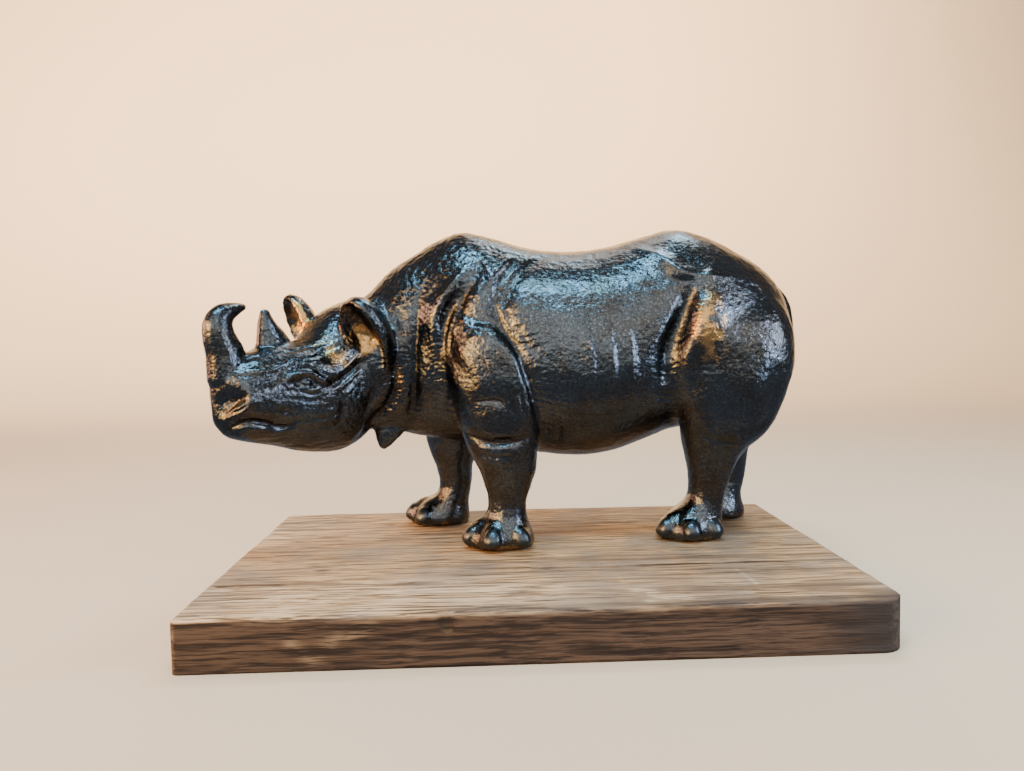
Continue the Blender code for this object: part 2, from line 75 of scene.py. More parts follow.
def linear(code):
    """An sRGB hex colour as linear red, green and blue."""
    values = [int(code[i:i + 2], 16) / 255.0 for i in (1, 3, 5)]
    return tuple(v / 12.92 if v <= 0.04045 else ((v + 0.055) / 1.055) ** 2.4 for v in values)


# Sizes and colours that a user may change

def length_setting(name, description, metres):
    return bpy.props.FloatProperty(
        name=name, description=description, default=metres, unit="LENGTH", precision=5)


def colour_setting(name, description, code):
    return bpy.props.FloatVectorProperty(
        name=name, description=description, default=linear(code), subtype="COLOR")


def power_setting(name, light, watts):
    return bpy.props.FloatProperty(
        name=name, description="Power of the " + light, default=watts, unit="POWER")


class CastingLook(bpy.types.PropertyGroup):
    voxel: length_setting("Skin fineness", "Spacing of the relief's mesh", 0.00036)
    triangles: bpy.props.IntProperty(
        name="Triangles", description="Most triangles in the finished casting", default=194000)
    grain: length_setting("Cast grain", "Width of one grain of the stippled skin", 0.00042)
    scale_width: length_setting("Scale width", "Width of one scale of the wrinkled hide", 0.0013)
    patina: colour_setting("Patina", "Cool dark metal", "#4e545a")
    bronze: colour_setting("Bronze tint", "Brown tint of the patina", "#494848")
    # Also the colour of the painted shade in the near ear's upper mouth
    recess_and_shade: colour_setting("Recess", "Colour left in the hollows", "#2c2a2b")
    rubbed: colour_setting("Rubbed ridge", "Metal rubbed bright", "#74736e")
    tip: colour_setting("Grain tips", "Metal bright on the tips of the grain", "#8c9298")
    nail: colour_setting("Toenails", "Smooth metal of the toenails", "#464d53")
    # Also the colour of the painted gold highlights where the gold light falls
    bare: colour_setting("Bare bronze", "Bronze without its patina", "#b8925e")


class BoardLook(bpy.types.PropertyGroup):
    cell: length_setting("Board fineness", "Spacing of the board's mesh", 0.00044)
    worn_corner: length_setting("Worn corner", "Radius of the worn front corner", 0.0045)
    corner: length_setting("Corners", "Radius of the other three corners", 0.0012)
    arris: length_setting("Arris wear", "Radius of the worn edges", 0.0008)
    fibre: length_setting("Fibre width", "Spacing of the fine grain lines", 0.00034)
    pale: colour_setting("Bleached wood", "Dry top surface", "#bd9f79")
    tan: colour_setting("Wood", "Middle tone", "#72593f")
    brown: colour_setting("Bands", "Darker bands in the wood", "#4a3b2f")
    grey: colour_setting("Weathered grey", "Silvered patches", "#7b7166")
    pore: colour_setting("Pores", "Single dark fibres", "#33261d")
    sawn_dark: colour_setting("Sawn edge, dark", "Dark fibres of the edges", "#221a17")
    sawn_pale: colour_setting("Sawn edge, pale", "Pale fibres of the edges", "#4c3d33")
    # Also the colour of the painted light on the left of the top
    worn: colour_setting("Worn wood", "Wood worn or scuffed pale", "#cbb698")
    stain: colour_setting("Stain", "Dark stains", "#2c2828")
    rust: colour_setting("Rust", "Warm brown stains", "#94693a")
    split: colour_setting("Splits", "Dark of the splits and the knot", "#1f1712")


class StageLook(bpy.types.PropertyGroup):
    floor: colour_setting("Floor", "Plain pale floor", "#cebda6")
    key_power: power_setting("Key light", "gold light on the left", 1.35)
    side_power: power_setting("Side light", "copper light far round on the left", 1.2)
    top_power: power_setting("Top light", "cool strip overhead", 1.0)
    rear_power: power_setting("Rear light", "small cool light behind", 0.25)
    panel_power: power_setting("Rear panel", "wide pale light behind", 0.45)
    strip_power: power_setting("Strip light", "narrow light close by on the right", 0.18)
    front_power: power_setting("Front fill", "large dim front panel", 8.5)
    wall_power: power_setting("Backdrop light", "light on the backdrop", 24.5)
    soft_power: power_setting("Soft light", "wide light over the board", 5.0)


# Patterns

def lattice(cells, seed):
    """A repeatable random number from 0 to 1 for each whole-number cell."""
    mixed = cells[:, 0] * 73856093 ^ cells[:, 1] * 19349663 ^ cells[:, 2] * 83492791 ^ (seed + 7) * 26544357
    mixed = (mixed ^ (mixed >> 13)) * 1274126177
    mixed = (mixed ^ (mixed >> 15)) * 668265263
    return ((mixed ^ (mixed >> 16)) & 0xFFFFFF) / float(0xFFFFFF)


def clouds(points, size, seed=0):
    """Smooth noise from -1 to 1 whose lumps are about one size across."""
    spots = np.asarray(points) / np.asarray(size)
    base = np.floor(spots).astype(np.int64)
    part = spots - base
    part = part * part * (3.0 - 2.0 * part)
    total = np.zeros(len(spots))
    for corner in itertools.product((0, 1), repeat=3):
        share = np.prod(np.where(np.array(corner) == 1, part, 1.0 - part), axis=1)
        total += share * lattice(base + np.array(corner), seed)
    return 2.0 * total - 1.0


def scales(points, size, seed=0):
    """Random cells: 0 on the crack between two cells, rising towards the middle of each."""
    spots = np.asarray(points) / np.asarray(size)
    base = np.floor(spots).astype(np.int64)
    nearest = np.full(len(spots), 9.0)
    second = np.full(len(spots), 9.0)
    for step in itertools.product((-1, 0, 1), repeat=3):
        cell = base + np.array(step)
        centre = cell + np.column_stack([lattice(cell, seed + 11 * k) for k in range(3)])
        gap = np.linalg.norm(spots - centre, axis=1)
        second = np.minimum(second, np.maximum(nearest, gap))
        nearest = np.minimum(nearest, gap)
    return second - nearest


def smooth_step(value, low, high):
    t = np.clip((value - low) / (high - low), 0.0, 1.0)
    return t * t * (3.0 - 2.0 * t)


def window(value, low, high, soft):
    """1 between low and high, fading to 0 over soft on each side."""
    return smooth_step(value, low - soft, low + soft) * (1.0 - smooth_step(value, high - soft, high + soft))


def spread(stations, steps=5):
    """Rows between the given stations, on a smooth curve through them."""
    rows = np.array(stations, float)
    padded = np.vstack([2 * rows[0] - rows[1], rows, 2 * rows[-1] - rows[-2]])
    out = []
    for i in range(len(rows) - 1):
        a, b, c, d = padded[i:i + 4]
        for t in np.linspace(0.0, 1.0, steps, endpoint=False):
            out.append(0.5 * (2 * b + (c - a) * t + (2 * a - 5 * b + 4 * c - d) * t ** 2
                              + (3 * b - a - 3 * c + d) * t ** 3))
    out.append(rows[-1])
    return np.array(out)


def head_place(forward, side, height):
    """A point along the turned head: forward of the poll, towards its near side, height."""
    c = math.cos(HEAD_YAW)
    s = math.sin(HEAD_YAW)
    return np.array([POLL[0] - c * forward + s * side, POLL[1] - s * forward - c * side, height])


def head_vector(forward, side, height):
    return head_place(forward, side, height) - head_place(0.0, 0.0, 0.0)


# Carving

class Skin:
    """The casting's surface as arrays in the figure's millimetres, pushed along its normals."""

    def __init__(self, piece):
        self.mesh = piece.data
        count = len(self.mesh.vertices)
        flat = np.empty(count * 3)
        self.mesh.vertices.foreach_get("co", flat)
        self.places = (flat.reshape(count, 3) - SEAT) * MM
        ends = np.empty(len(self.mesh.edges) * 2, dtype=np.int32)
        self.mesh.edges.foreach_get("vertices", ends)
        self.ends = ends.reshape(-1, 2)
        self.links = np.bincount(self.ends.ravel(), minlength=count)
        self.settle()

    def settle(self):
        """Writes the places back, then measures the normals and the surface to draw on."""
        self.mesh.vertices.foreach_set("co", (self.places / MM + SEAT).ravel())
        self.mesh.update()
        normals = np.empty(len(self.places) * 3)
        self.mesh.vertices.foreach_get("normal", normals)
        self.normals = normals.reshape(-1, 3)
        bm = bmesh.new()
        bm.from_mesh(self.mesh)
        self.tree = BVHTree.FromBMesh(bm)
        bm.free()

    def neighbours(self, values):
        """The mean of each vertex's neighbours."""
        a, b = self.ends.T
        count = len(values)
        sums = [np.bincount(a, values[b, k], count) + np.bincount(b, values[a, k], count) for k in range(3)]
        return np.column_stack(sums) / self.links[:, None]

    def iron(self, share, passes):
        """Takes the facets out without thinning the form, most where share is 1."""
        for pull in (0.6, -0.62) * passes:
            self.places += share[:, None] * pull * (self.neighbours(self.places) - self.places)

    def soften(self, share, passes):
        """Plain smoothing that also takes small forms away, where share is above 0."""
        for _ in range(passes):
            self.places += 0.5 * share[:, None] * (self.neighbours(self.places) - self.places)

    def head_coordinates(self):
        """Each vertex's forward, near-side and height coordinates along the turned head."""
        c = math.cos(HEAD_YAW)
        s = math.sin(HEAD_YAW)
        dx = self.places[:, 0] - POLL[0]
        dy = self.places[:, 1] - POLL[1]
        return -dx * c - dy * s, dx * s - dy * c, self.places[:, 2]

    def on_head(self):
        """1 on the head, fading to 0 at the neck."""
        forward, _, height = self.head_coordinates()
        return (smooth_step(forward, -3.0, 1.0) * smooth_step(height, 16.0, 20.0)
                * (1.0 - smooth_step(self.places[:, 0], -34.0, -31.0)))

    def seat(self, points, towards, back=60.0):
        """The given points moved onto the surface along one direction, with the normals there."""
        way = Vector(towards)
        spots = []
        facing = []
        for point in points:
            start = Vector(np.array(point) / MM + SEAT) - way * back / MM
            hit, normal, _, _ = self.tree.ray_cast(start, way)
            if hit is not None:
                spots.append((np.array(hit) - SEAT) * MM)
                facing.append(normal)
        return np.array(spots), np.array(facing)

    def near(self, line, reach):
        """The vertices near a line: which, how far, how far along, which side, how well they face it."""
        path, facing = line
        inside = (self.places > path.min(axis=0) - reach) & (self.places < path.max(axis=0) + reach)
        picked = np.flatnonzero(np.all(inside, axis=1))
        spots = self.places[picked]
        normals = self.normals[picked]
        best = np.full(len(spots), 99.0)
        share = np.zeros(len(spots))
        left = np.zeros(len(spots))
        turned = np.zeros(len(spots))
        last = len(path) - 1
        for i in range(last):
            a = path[i]
            way = path[i + 1] - a
            length = max(float(np.dot(way, way)), 1e-9)
            t = np.clip((spots - a) @ way / length, 0.0, 1.0)
            off = spots - (a + np.outer(t, way))
            gap = np.sqrt(np.sum(off * off, axis=1))
            closer = gap < best
            best[closer] = gap[closer]
            share[closer] = (i + t[closer]) / last
            left[closer] = np.sum(np.cross(way, off[closer]) * normals[closer], axis=1)
            turned[closer] = normals[closer] @ facing[i]
        kept = best < reach
        return picked[kept], best[kept], share[kept], left[kept], smooth_step(turned[kept], -0.1, 0.4)

    def push(self, picked, amount):
        self.places[picked] += self.normals[picked] * amount[:, None]

    def groove(self, line, width, depth, taper=0.5):
        """A rounded furrow, or a rounded ridge when the depth is negative."""
        picked, gap, share, _, facing = self.near(line, 2.6 * width)
        ends = np.sin(np.pi * np.clip(share, 0.015, 0.985)) ** taper
        self.push(picked, -depth * np.exp(-(gap / width) ** 2) * ends * facing)

    def edge(self, line, width, rise, reach):
        """A step: the skin on the line's left stands proud and dies away over the reach."""
        picked, gap, share, left, facing = self.near(line, 2.2 * reach)
        signed = np.where(left > 0, gap, -gap)
        step = 0.5 * (1.0 + np.tanh(signed / width))
        ends = np.sin(np.pi * np.clip(share, 0.03, 0.97)) ** 0.5
        self.push(picked, rise * step * np.exp(-(gap / reach) ** 2) * ends * facing)

    def swell(self, centre, radii, rise, power=2.0):
        """A mound over an oval whose radii are along x, y and z."""
        gap = np.sqrt(np.sum(((self.places - centre) / np.array(radii)) ** 2, axis=1))
        picked = np.flatnonzero(gap < 2.4)
        self.push(picked, rise * np.exp(-gap[picked] ** power))

    def creases(self, along, across, mask, pitch, depth, wander=0.35, seed=0, sharp=2.0):
        """Short creases a pitch apart that run along one coordinate and break up at random."""
        picked = np.flatnonzero(mask > 0.01)
        a = along[picked]
        b = across[picked]
        flat = np.zeros(len(a))
        drift = wander * clouds(np.column_stack((a, b, flat)), (3.2 * pitch, 2.0 * pitch, 1.0), seed)
        phase = b / pitch + drift
        cut = (1.0 - np.abs(np.sin(np.pi * phase))) ** sharp
        whole = 0.55 + 0.6 * clouds(np.column_stack((a, b, flat)), (2.6 * pitch, 0.8 * pitch, 1.0), seed + 5)
        bulge = 0.35 * np.abs(np.sin(np.pi * phase))
        self.push(picked, depth * mask[picked] * (bulge - cut * np.clip(whole, 0.0, 1.0)))

    def hide(self, mask, size, depth, seed=0):
        """Cracks between small scales."""
        picked = np.flatnonzero(mask > 0.01)
        inner = scales(self.places[picked], size, seed)
        self.push(picked, depth * mask[picked] * (smooth_step(inner, 0.0, 0.22) - 0.85))


# How far the raised side of an edge dies away
EDGE_REACH = 3.0
# The folds of a flank as x and height. Those marked fore or hind move along with the far limbs.
# Each: kind, half width, depth or rise, which limb it belongs to, points
FLANK = (
    ("ridge", 1.1, 0.5, "", ((-12.2, 57.7), (-14.0, 56.3), (-15.7, 54.2), (-17.1, 52.2), (-18.2, 49.5),
        (-18.8, 46.8), (-19.0, 44.0), (-19.3, 40.5))),
    ("groove", 0.8, 0.28, "", ((-12.6, 55.8), (-14.7, 52.5), (-16.5, 49.5), (-17.3, 46.7), (-17.6, 44.3),
        (-17.9, 42.0))),
    ("ridge", 0.6, 0.34, "", ((-14.2, 52.0), (-14.4, 49.8), (-15.2, 47.4), (-15.9, 45.0), (-16.4, 42.6),
        (-16.6, 40.4))),
    ("groove", 0.55, 0.24, "", ((-12.3, 54.2), (-13.0, 51.1), (-13.6, 48.3), (-14.1, 45.6), (-14.7, 42.9))),
    ("groove", 0.8, 0.3, "", ((-21.0, 55.0), (-22.4, 51.5), (-22.9, 47.5), (-23.0, 43.5))),
    ("ridge", 0.7, 0.3, "", ((-9.4, 62.0), (-8.8, 60.1), (-7.9, 57.9), (-7.1, 56.1))),
    ("ridge", 0.8, 0.35, "", ((-3.2, 60.5), (-4.6, 59.0), (-6.0, 57.2), (-7.1, 55.6), (-7.4, 52.3))),
    ("ridge", 0.9, 0.5, "", ((4.2, 61.6), (2.0, 60.4), (-0.4, 58.9), (-2.6, 57.0), (-4.0, 54.9),
        (-4.9, 52.3), (-5.4, 49.8), (-4.6, 47.1), (-2.8, 44.2), (-0.8, 41.6), (0.6, 39.4))),
    ("groove", 1.1, 0.25, "", ((-2.9, 59.2), (-5.2, 56.0), (-6.2, 53.0), (-6.9, 50.6), (-8.2, 49.0),
        (-10.4, 47.9))),
    ("groove", 1.2, 0.12, "", ((3.9, 59.6), (0.8, 57.3), (-1.6, 55.2), (-2.9, 52.7), (-3.4, 50.2),
        (-2.6, 47.6), (-0.9, 45.1))),
    ("edge", 0.5, 0.34, "fore", ((-11.0, 46.9), (-8.3, 45.9), (-6.2, 44.4), (-4.3, 42.3), (-2.9, 40.0),
        (-1.9, 37.6), (-1.0, 34.6), (-0.1, 31.6), (0.8, 28.4), (1.5, 26.0))),
    ("groove", 0.4, 0.14, "fore", ((-10.4, 47.6), (-7.6, 46.5), (-5.2, 44.6), (-3.4, 42.6), (-1.9, 40.2),
        (-0.8, 37.6), (0.2, 34.6), (1.0, 31.6), (1.8, 28.2), (2.4, 25.4))),
    ("groove", 0.36, 0.4, "fore", ((-11.2, 30.9), (-9.6, 30.9), (-8.2, 31.0), (-6.6, 31.0), (-5.4, 30.5),
        (-4.8, 29.6))),
    ("groove", 0.4, 0.2, "fore", ((-4.9, 34.6), (-4.1, 31.9), (-3.5, 29.6), (-2.9, 27.4))),
    ("ridge", 0.4, 0.2, "fore", ((-3.6, 34.8), (-3.0, 32.4), (-2.4, 30.0), (-1.8, 27.5))),
    ("groove", 0.35, 0.2, "fore", ((-2.3, 33.8), (-1.9, 31.6), (-1.5, 29.4), (-1.2, 27.4))),
    ("groove", 0.36, 0.34, "fore", ((-13.4, 24.4), (-11.2, 23.3), (-8.5, 22.4), (-5.8, 22.1), (-3.1, 22.4),
        (-0.4, 23.2))),
    ("groove", 0.6, 0.3, "fore", ((-7.4, 22.9), (-5.5, 22.8), (-3.6, 23.0))),
    ("groove", 0.5, 0.25, "fore", ((-11.8, 21.0), (-9.3, 19.6), (-6.2, 19.3), (-3.0, 19.9))),
    ("ridge", 0.7, 0.25, "fore", ((-9.9, 20.0), (-9.3, 16.4), (-8.6, 12.5), (-8.1, 9.9), (-7.5, 7.3))),
    ("groove", 0.7, 0.35, "", ((-23.4, 44.5), (-23.4, 39.6), (-23.7, 36.1), (-24.2, 30.7), (-25.0, 26.5))),
    ("groove", 0.7, 0.3, "", ((-16.8, 33.5), (-17.2, 30.2), (-16.5, 27.4), (-14.6, 25.2))),
    ("ridge", 0.9, 0.25, "", ((22.5, 62.4), (25.9, 61.1), (29.1, 59.0), (31.2, 57.1), (34.2, 55.8),
        (38.3, 55.6), (42.5, 55.0))),
    ("ridge", 0.7, 0.2, "", ((40.5, 55.2), (44.8, 54.9), (47.6, 54.1), (49.6, 51.8), (51.0, 49.0),
        (51.8, 46.0))),
    ("groove", 0.9, 0.3, "", ((34.4, 54.4), (31.0, 54.6), (28.0, 55.6))),
    ("groove", 1.7, 0.7, "", ((33.4, 52.0), (32.6, 49.4), (31.2, 46.4), (29.8, 43.2), (28.8, 39.8),
        (28.4, 35.6), (28.7, 31.6))),
    ("ridge", 1.0, 0.12, "", ((33.6, 42.4), (32.7, 39.9), (32.3, 36.8), (32.4, 33.4), (32.2, 29.4))),
    ("ridge", 1.2, 0.1, "", ((23.4, 39.4), (25.4, 41.8), (27.6, 44.8), (29.4, 48.0), (31.0, 51.0),
        (33.0, 54.4))),
    ("ridge", 0.6, 0.12, "", ((6.4, 44.0), (6.9, 41.0), (7.1, 38.0), (6.9, 34.6), (6.6, 30.7))),
    ("ridge", 0.6, 0.15, "", ((10.9, 45.6), (11.8, 43.0), (12.6, 39.8), (13.0, 36.6), (12.5, 33.2),
        (11.5, 29.6))),
    ("ridge", 0.6, 0.15, "", ((16.0, 46.2), (16.5, 43.0), (16.9, 39.5), (17.0, 36.3), (16.4, 32.6),
        (15.2, 28.8))),
    ("ridge", 0.6, 0.1, "", ((19.7, 45.8), (20.5, 42.4), (20.9, 38.6), (20.9, 35.2), (20.5, 32.2))),
    ("groove", 0.4, 0.22, "", ((6.0, 27.6), (6.2, 25.4), (6.3, 22.6), (6.5, 20.4))),
    ("groove", 0.6, 0.18, "", ((1.5, 29.4), (7.0, 27.8), (13.5, 27.2), (20.5, 28.0), (26.0, 30.4))),
    ("groove", 1.3, 0.4, "hind", ((50.4, 27.4), (48.6, 24.8), (46.0, 23.4), (43.4, 23.2))),
    ("groove", 0.6, 0.25, "hind", ((36.2, 22.4), (39.4, 21.2), (42.4, 20.8))),
    ("ridge", 0.9, 0.25, "hind", ((44.4, 21.0), (43.2, 17.4), (42.4, 13.6), (41.8, 9.8))),
    ("groove", 0.8, 0.2, "hind", ((40.8, 20.4), (40.4, 16.4), (39.9, 12.2))),
)

# The edges of the eyelids as forward and height
LID_LINE = ((16.8, 35.7), (15.8, 36.7), (14.5, 37.3), (12.5, 37.5), (11.2, 37.1), (10.0, 36.2), (8.1, 35.3))
UNDER_LINE = ((16.3, 35.1), (13.5, 34.6), (11.6, 34.1), (10.0, 34.5))
# The middle of the eye, and of its ball a little further back
EYE = ((12.9, 35.4), (12.6, 35.4))
# The slit of the nostril
NOSTRIL = ((25.9, 32.2), (25.2, 32.9), (24.3, 33.5))
# The mouths of the near and the far ear as forward, near side and height, and their half sizes
EAR_MOUTHS = ((0.4, 9.6, 45.7), (3.0, -9.4, 47.6))
EAR_REACH = np.array([4.2, 4.2, 6.0])

# The lines of one side of the face as forward and height. Each: kind, half width, depth or rise, points
FACE = (
    ("groove", 0.32, 0.25, ((24.4, 39.7), (20.7, 40.9), (17.4, 41.3), (13.9, 41.8), (10.3, 42.4),
        (5.9, 43.4))),
    ("groove", 0.3, 0.25, ((24.3, 38.6), (20.9, 39.1), (17.6, 39.6), (14.2, 40.6), (9.8, 41.3), (6.4, 42.4))),
    ("groove", 0.4, 0.3, ((24.6, 37.4), (21.4, 37.2), (18.2, 37.8), (14.1, 39.9), (9.8, 40.6), (6.0, 42.1),
        (2.6, 43.6))),
    ("ridge", 0.9, 0.3, ((24.2, 38.2), (20.2, 38.3), (17.0, 38.9), (13.2, 40.5), (9.4, 41.1), (5.6, 42.4))),
    ("groove", 0.8, 0.35, ((23.6, 36.2), (20.6, 35.9), (18.4, 36.5), (16.8, 37.4))),
    ("ridge", 0.55, 0.65, LID_LINE),
    ("groove", 0.3, 0.3, ((LID_LINE[0][0], LID_LINE[0][1] + 0.9), *((u, w + 1.15) for u, w in LID_LINE[1:]))),
    ("ridge", 0.32, 0.3, UNDER_LINE),
    ("groove", 0.35, 0.2, tuple((u, w - 1.0) for u, w in UNDER_LINE)),
    ("groove", 0.3, 0.12, tuple((u, w - 2.4) for u, w in UNDER_LINE)),
    ("groove", 0.42, 0.4, ((8.8, 34.2), (5.8, 35.3), (3.2, 37.0), (0.9, 38.7), (-1.2, 40.0))),
    ("ridge", 0.6, 0.3, ((8.4, 36.3), (5.4, 37.4), (3.5, 38.8), (1.0, 40.5))),
    ("groove", 0.35, 0.2, ((6.8, 32.6), (4.8, 33.6), (2.2, 35.6), (0.4, 37.0))),
    ("ridge", 0.35, 0.15, ((27.2, 30.0), (25.7, 30.3), (24.5, 31.0), (23.7, 32.4), (23.9, 34.1),
        (25.0, 34.7), (26.4, 33.7), (27.3, 32.2))),
    ("groove", 0.8, 0.7, ((27.6, 30.0), (26.8, 31.0), *NOSTRIL)),
    ("groove", 0.3, 0.3, ((27.9, 29.4), (26.6, 30.2), (25.2, 31.2), (24.3, 32.2))),
    ("groove", 0.35, 0.42, ((26.6, 27.0), (25.2, 28.2), (23.3, 28.7), (20.4, 28.1), (17.4, 27.1),
        (15.4, 27.4), (14.1, 28.6))),
    ("ridge", 0.5, 0.12, ((25.6, 26.1), (23.9, 27.0), (21.6, 26.9), (18.6, 25.9), (16.0, 25.7))),
    ("groove", 0.32, 0.2, ((22.0, 25.4), (19.0, 24.7), (15.8, 24.5), (12.0, 24.3), (7.6, 24.6), (3.6, 25.6))),
    ("groove", 0.32, 0.2, ((19.6, 23.4), (15.6, 22.9), (11.0, 22.6), (6.4, 22.8), (2.2, 24.2))),
    ("groove", 0.3, 0.18, ((14.6, 26.6), (11.2, 26.0), (7.6, 26.2), (4.4, 27.2))),
    ("groove", 0.3, 0.15, ((13.8, 29.6), (11.2, 28.4), (8.0, 28.2), (5.4, 29.2))),
    ("groove", 0.3, 0.15, ((19.8, 31.4), (17.2, 30.2), (14.8, 29.6))),
    ("groove", 0.6, 0.25, ((5.9, 34.0), (5.2, 31.6), (5.0, 29.2), (5.6, 26.8))),
    ("groove", 0.6, 0.35, ((-0.6, 38.6), (-1.6, 35.4), (-1.6, 31.6), (-0.6, 27.6), (1.4, 24.4))),
    ("groove", 0.9, 0.5, ((-5.4, 39.0), (-5.9, 35.0), (-5.6, 31.0), (-4.2, 27.0), (-1.6, 23.6))),
)


def on_flank(skin, side, points, shift):
    """A line on one flank, turned so that its left is always the head's side."""
    rows = spread([(x + shift, z) for x, z in points])
    path, facing = skin.seat([(x, 0.0, z) for x, z in rows], (0.0, -side, 0.0))
    if side > 0:
        return path, facing
    return path[::-1], facing[::-1]


def on_face(skin, side, points):
    rows = spread(points)
    return skin.seat([head_place(u, 0.0, w) for u, w in rows], head_vector(0.0, -side, 0.0))


def draw(skin, line, kind, width, amount):
    if kind == "edge":
        skin.edge(line, width, amount, EDGE_REACH)
    else:
        skin.groove(line, width, -amount if kind == "ridge" else amount)


def carve_lines(skin):
    """The folds, plates, ribs and lines of the face, on both sides."""
    for side, fore, hind in ((NEAR, 0.0, 0.0), (FAR, FAR_FORE_SHIFT, FAR_HIND_SHIFT)):
        shifts = {"": 0.0, "fore": fore, "hind": hind}
        for kind, width, amount, limb, points in FLANK:
            draw(skin, on_flank(skin, side, points, shifts[limb]), kind, width, amount)
    for side in (1.0, -1.0):
        for kind, width, amount, points in FACE:
            draw(skin, on_face(skin, side, points), kind, width, amount)


def carve_creases(skin, look):
    """Fields of short wrinkles, and the scaled hide."""
    x, _, z = skin.places.T
    u, v, w = skin.head_coordinates()
    on_head = skin.on_head()
    for side, fore in ((NEAR, 0.0), (FAR, FAR_FORE_SHIFT)):
        flank = smooth_step(skin.normals[:, 1] * side, 0.0, 0.35) * (1.0 - on_head)
        collar = flank * window(x, -21.6, -14.6, 0.8) * window(z, 33.5, 50.5, 2.0)
        skin.creases(x, z + 0.10 * (x + 18.0) ** 2, collar, 0.95, 0.22, seed=1)
        neck = flank * window(x, -31.0, -23.6, 0.8) * window(z, 29.0, 42.5, 1.5)
        skin.creases(x, z + 0.06 * (x + 27.0) ** 2, neck, 0.95, 0.26, seed=2)
        lower = flank * window(x, -31.0, -15.5, 1.0) * window(z, 22.0, 31.0, 1.5)
        skin.creases(x, z, lower, 1.3, 0.14, seed=3)
        fan = flank * window(x, -3.6 + fore, 4.4 + fore, 1.6) * window(z + 1.1 * (x - fore), 37.5, 47.0, 2.4)
        skin.creases(x, z - 0.30 * x, fan, 1.25, 0.13, wander=0.9, seed=4, sharp=1.4)
        skin.hide(fan, 0.8 * look.scale_width * MM, 0.10, seed=10)
        groin = flank * window(x, 25.0, 32.0, 1.4) * window(z, 27.5, 41.5, 2.0)
        skin.creases(x, z - 0.05 * (x - 29.0) ** 2, groin, 1.2, 0.16, seed=5)
        thigh = flank * window(x, 32.0, 39.0, 1.4) * window(z, 33.0, 38.5, 1.0)
        skin.creases(x, z - 0.04 * (x - 35.0) ** 2, thigh, 1.5, 0.12, seed=6)
        armpit = flank * window(x, 0.5, 7.0, 1.0) * window(z, 24.0, 36.0, 1.5)
        skin.creases(x, z + 0.25 * x, armpit, 1.25, 0.14, seed=7)
    face = on_head * smooth_step(np.abs(v), 0.2, 1.6)
    band = on_head * smooth_step(u, 23.8, 25.2) * window(w, 32.5, 39.4, 0.8)
    skin.creases(v, w + 0.05 * v ** 2, band, 0.72, 0.12, seed=8)
    bridge = on_head * window(u, 5.0, 24.0, 1.5) * window(w, 36.8, 44.0, 1.0)
    skin.creases(u, w + 0.10 * u, bridge, 0.8, 0.11, wander=0.6, seed=9)
    jaw = face * window(u, 1.0, 22.0, 1.5) * window(w, 20.5, 28.0, 0.8)
    skin.creases(u, w - 0.05 * u, jaw, 0.95, 0.16, wander=0.5, seed=10)
    wide = look.scale_width * MM
    crown = on_head * window(u, -3.0, 12.0, 1.5) * smooth_step(w, 41.5, 43.5)
    skin.hide(crown, 0.7 * wide, 0.10, seed=3)
    cheek = face * window(u, -3.0, 9.0, 1.5) * window(w, 25.0, 38.0, 1.5)
    skin.hide(cheek, 0.75 * wide, 0.09, seed=4)
    nape = (1.0 - on_head) * window(x, -40.0, -4.0, 2.0) * smooth_step(z, 38.0, 46.0)
    skin.hide(nape, wide, 0.12, seed=5)
    throat = window(x, -40.0, -14.0, 1.5) * (1.0 - smooth_step(z, 36.0, 44.0)) * smooth_step(z, 20.0, 22.0)
    skin.hide(throat * (1.0 - on_head), 0.9 * wide, 0.06, seed=6)
    limbs = window(z, 7.0, 22.5, 1.5)
    skin.hide(limbs, 0.9 * wide, 0.07, seed=7)
    rump = smooth_step(x, 33.0, 37.0) * smooth_step(z, 22.0, 26.0)
    skin.hide(rump, 1.2 * wide, 0.03, seed=8)
    back = window(x, -4.0, 34.0, 2.0) * smooth_step(z, 44.0, 50.0)
    skin.hide(back, 0.9 * wide, 0.03, seed=9)
    # The uneven face of the casting
    skin.push(np.arange(len(x)), 0.05 * clouds(skin.places, 2.2, 41) + 0.03 * clouds(skin.places, 1.1, 42))


# Painted gold highlights on both flanks, where the gold light falls, laid in the bronze colour, as x and
# height. Each: middle, half sizes, how much
GOLD_SHEEN_SPOTS = (
    ((-8.8, 37.5), (2.6, 6.0), 0.5),
    ((-14.4, 41.6), (1.5, 4.5), 0.35),
    ((37.0, 45.0), (3.0, 6.6), 1.9),
    ((-2.8, 50.0), (1.3, 7.0), 0.35),
    ((-16.6, 50.0), (1.8, 5.0), 0.3),
    ((-26.0, 46.0), (3.4, 3.8), 0.5),
    ((-26.8, 34.9), (1.3, 3.5), 0.8),
    ((11.9, 39.5), (1.0, 4.2), 0.55),
    ((16.8, 38.5), (0.9, 4.4), 0.5),
    ((7.0, 40.5), (1.0, 3.6), 0.4),
)

# The middle of each foot on the ground, and the ways that its toes point, in degrees
FEET = (
    (-6.3, -11.3, (195, 253, 311)),
    (-20.4, 11.3, (125, 180, 235)),
    (34.6, -8.0, (207, 262, 312)),
    (45.4, 10.0, (128, 184, 240)),
)
# A toenail's half width, its half height and the height of its middle
NAIL = (1.75, 2.2, 2.3)


def carve_eyes(skin):
    """An almond hollow with the ball in it."""
    for side in (1.0, -1.0):
        spots, _ = on_face(skin, side, EYE)
        skin.swell(spots[0], (2.4, 2.4, 1.15), -0.6, 3.0)
        skin.swell(spots[-1], (1.2, 1.2, 0.95), 1.05, 3.0)


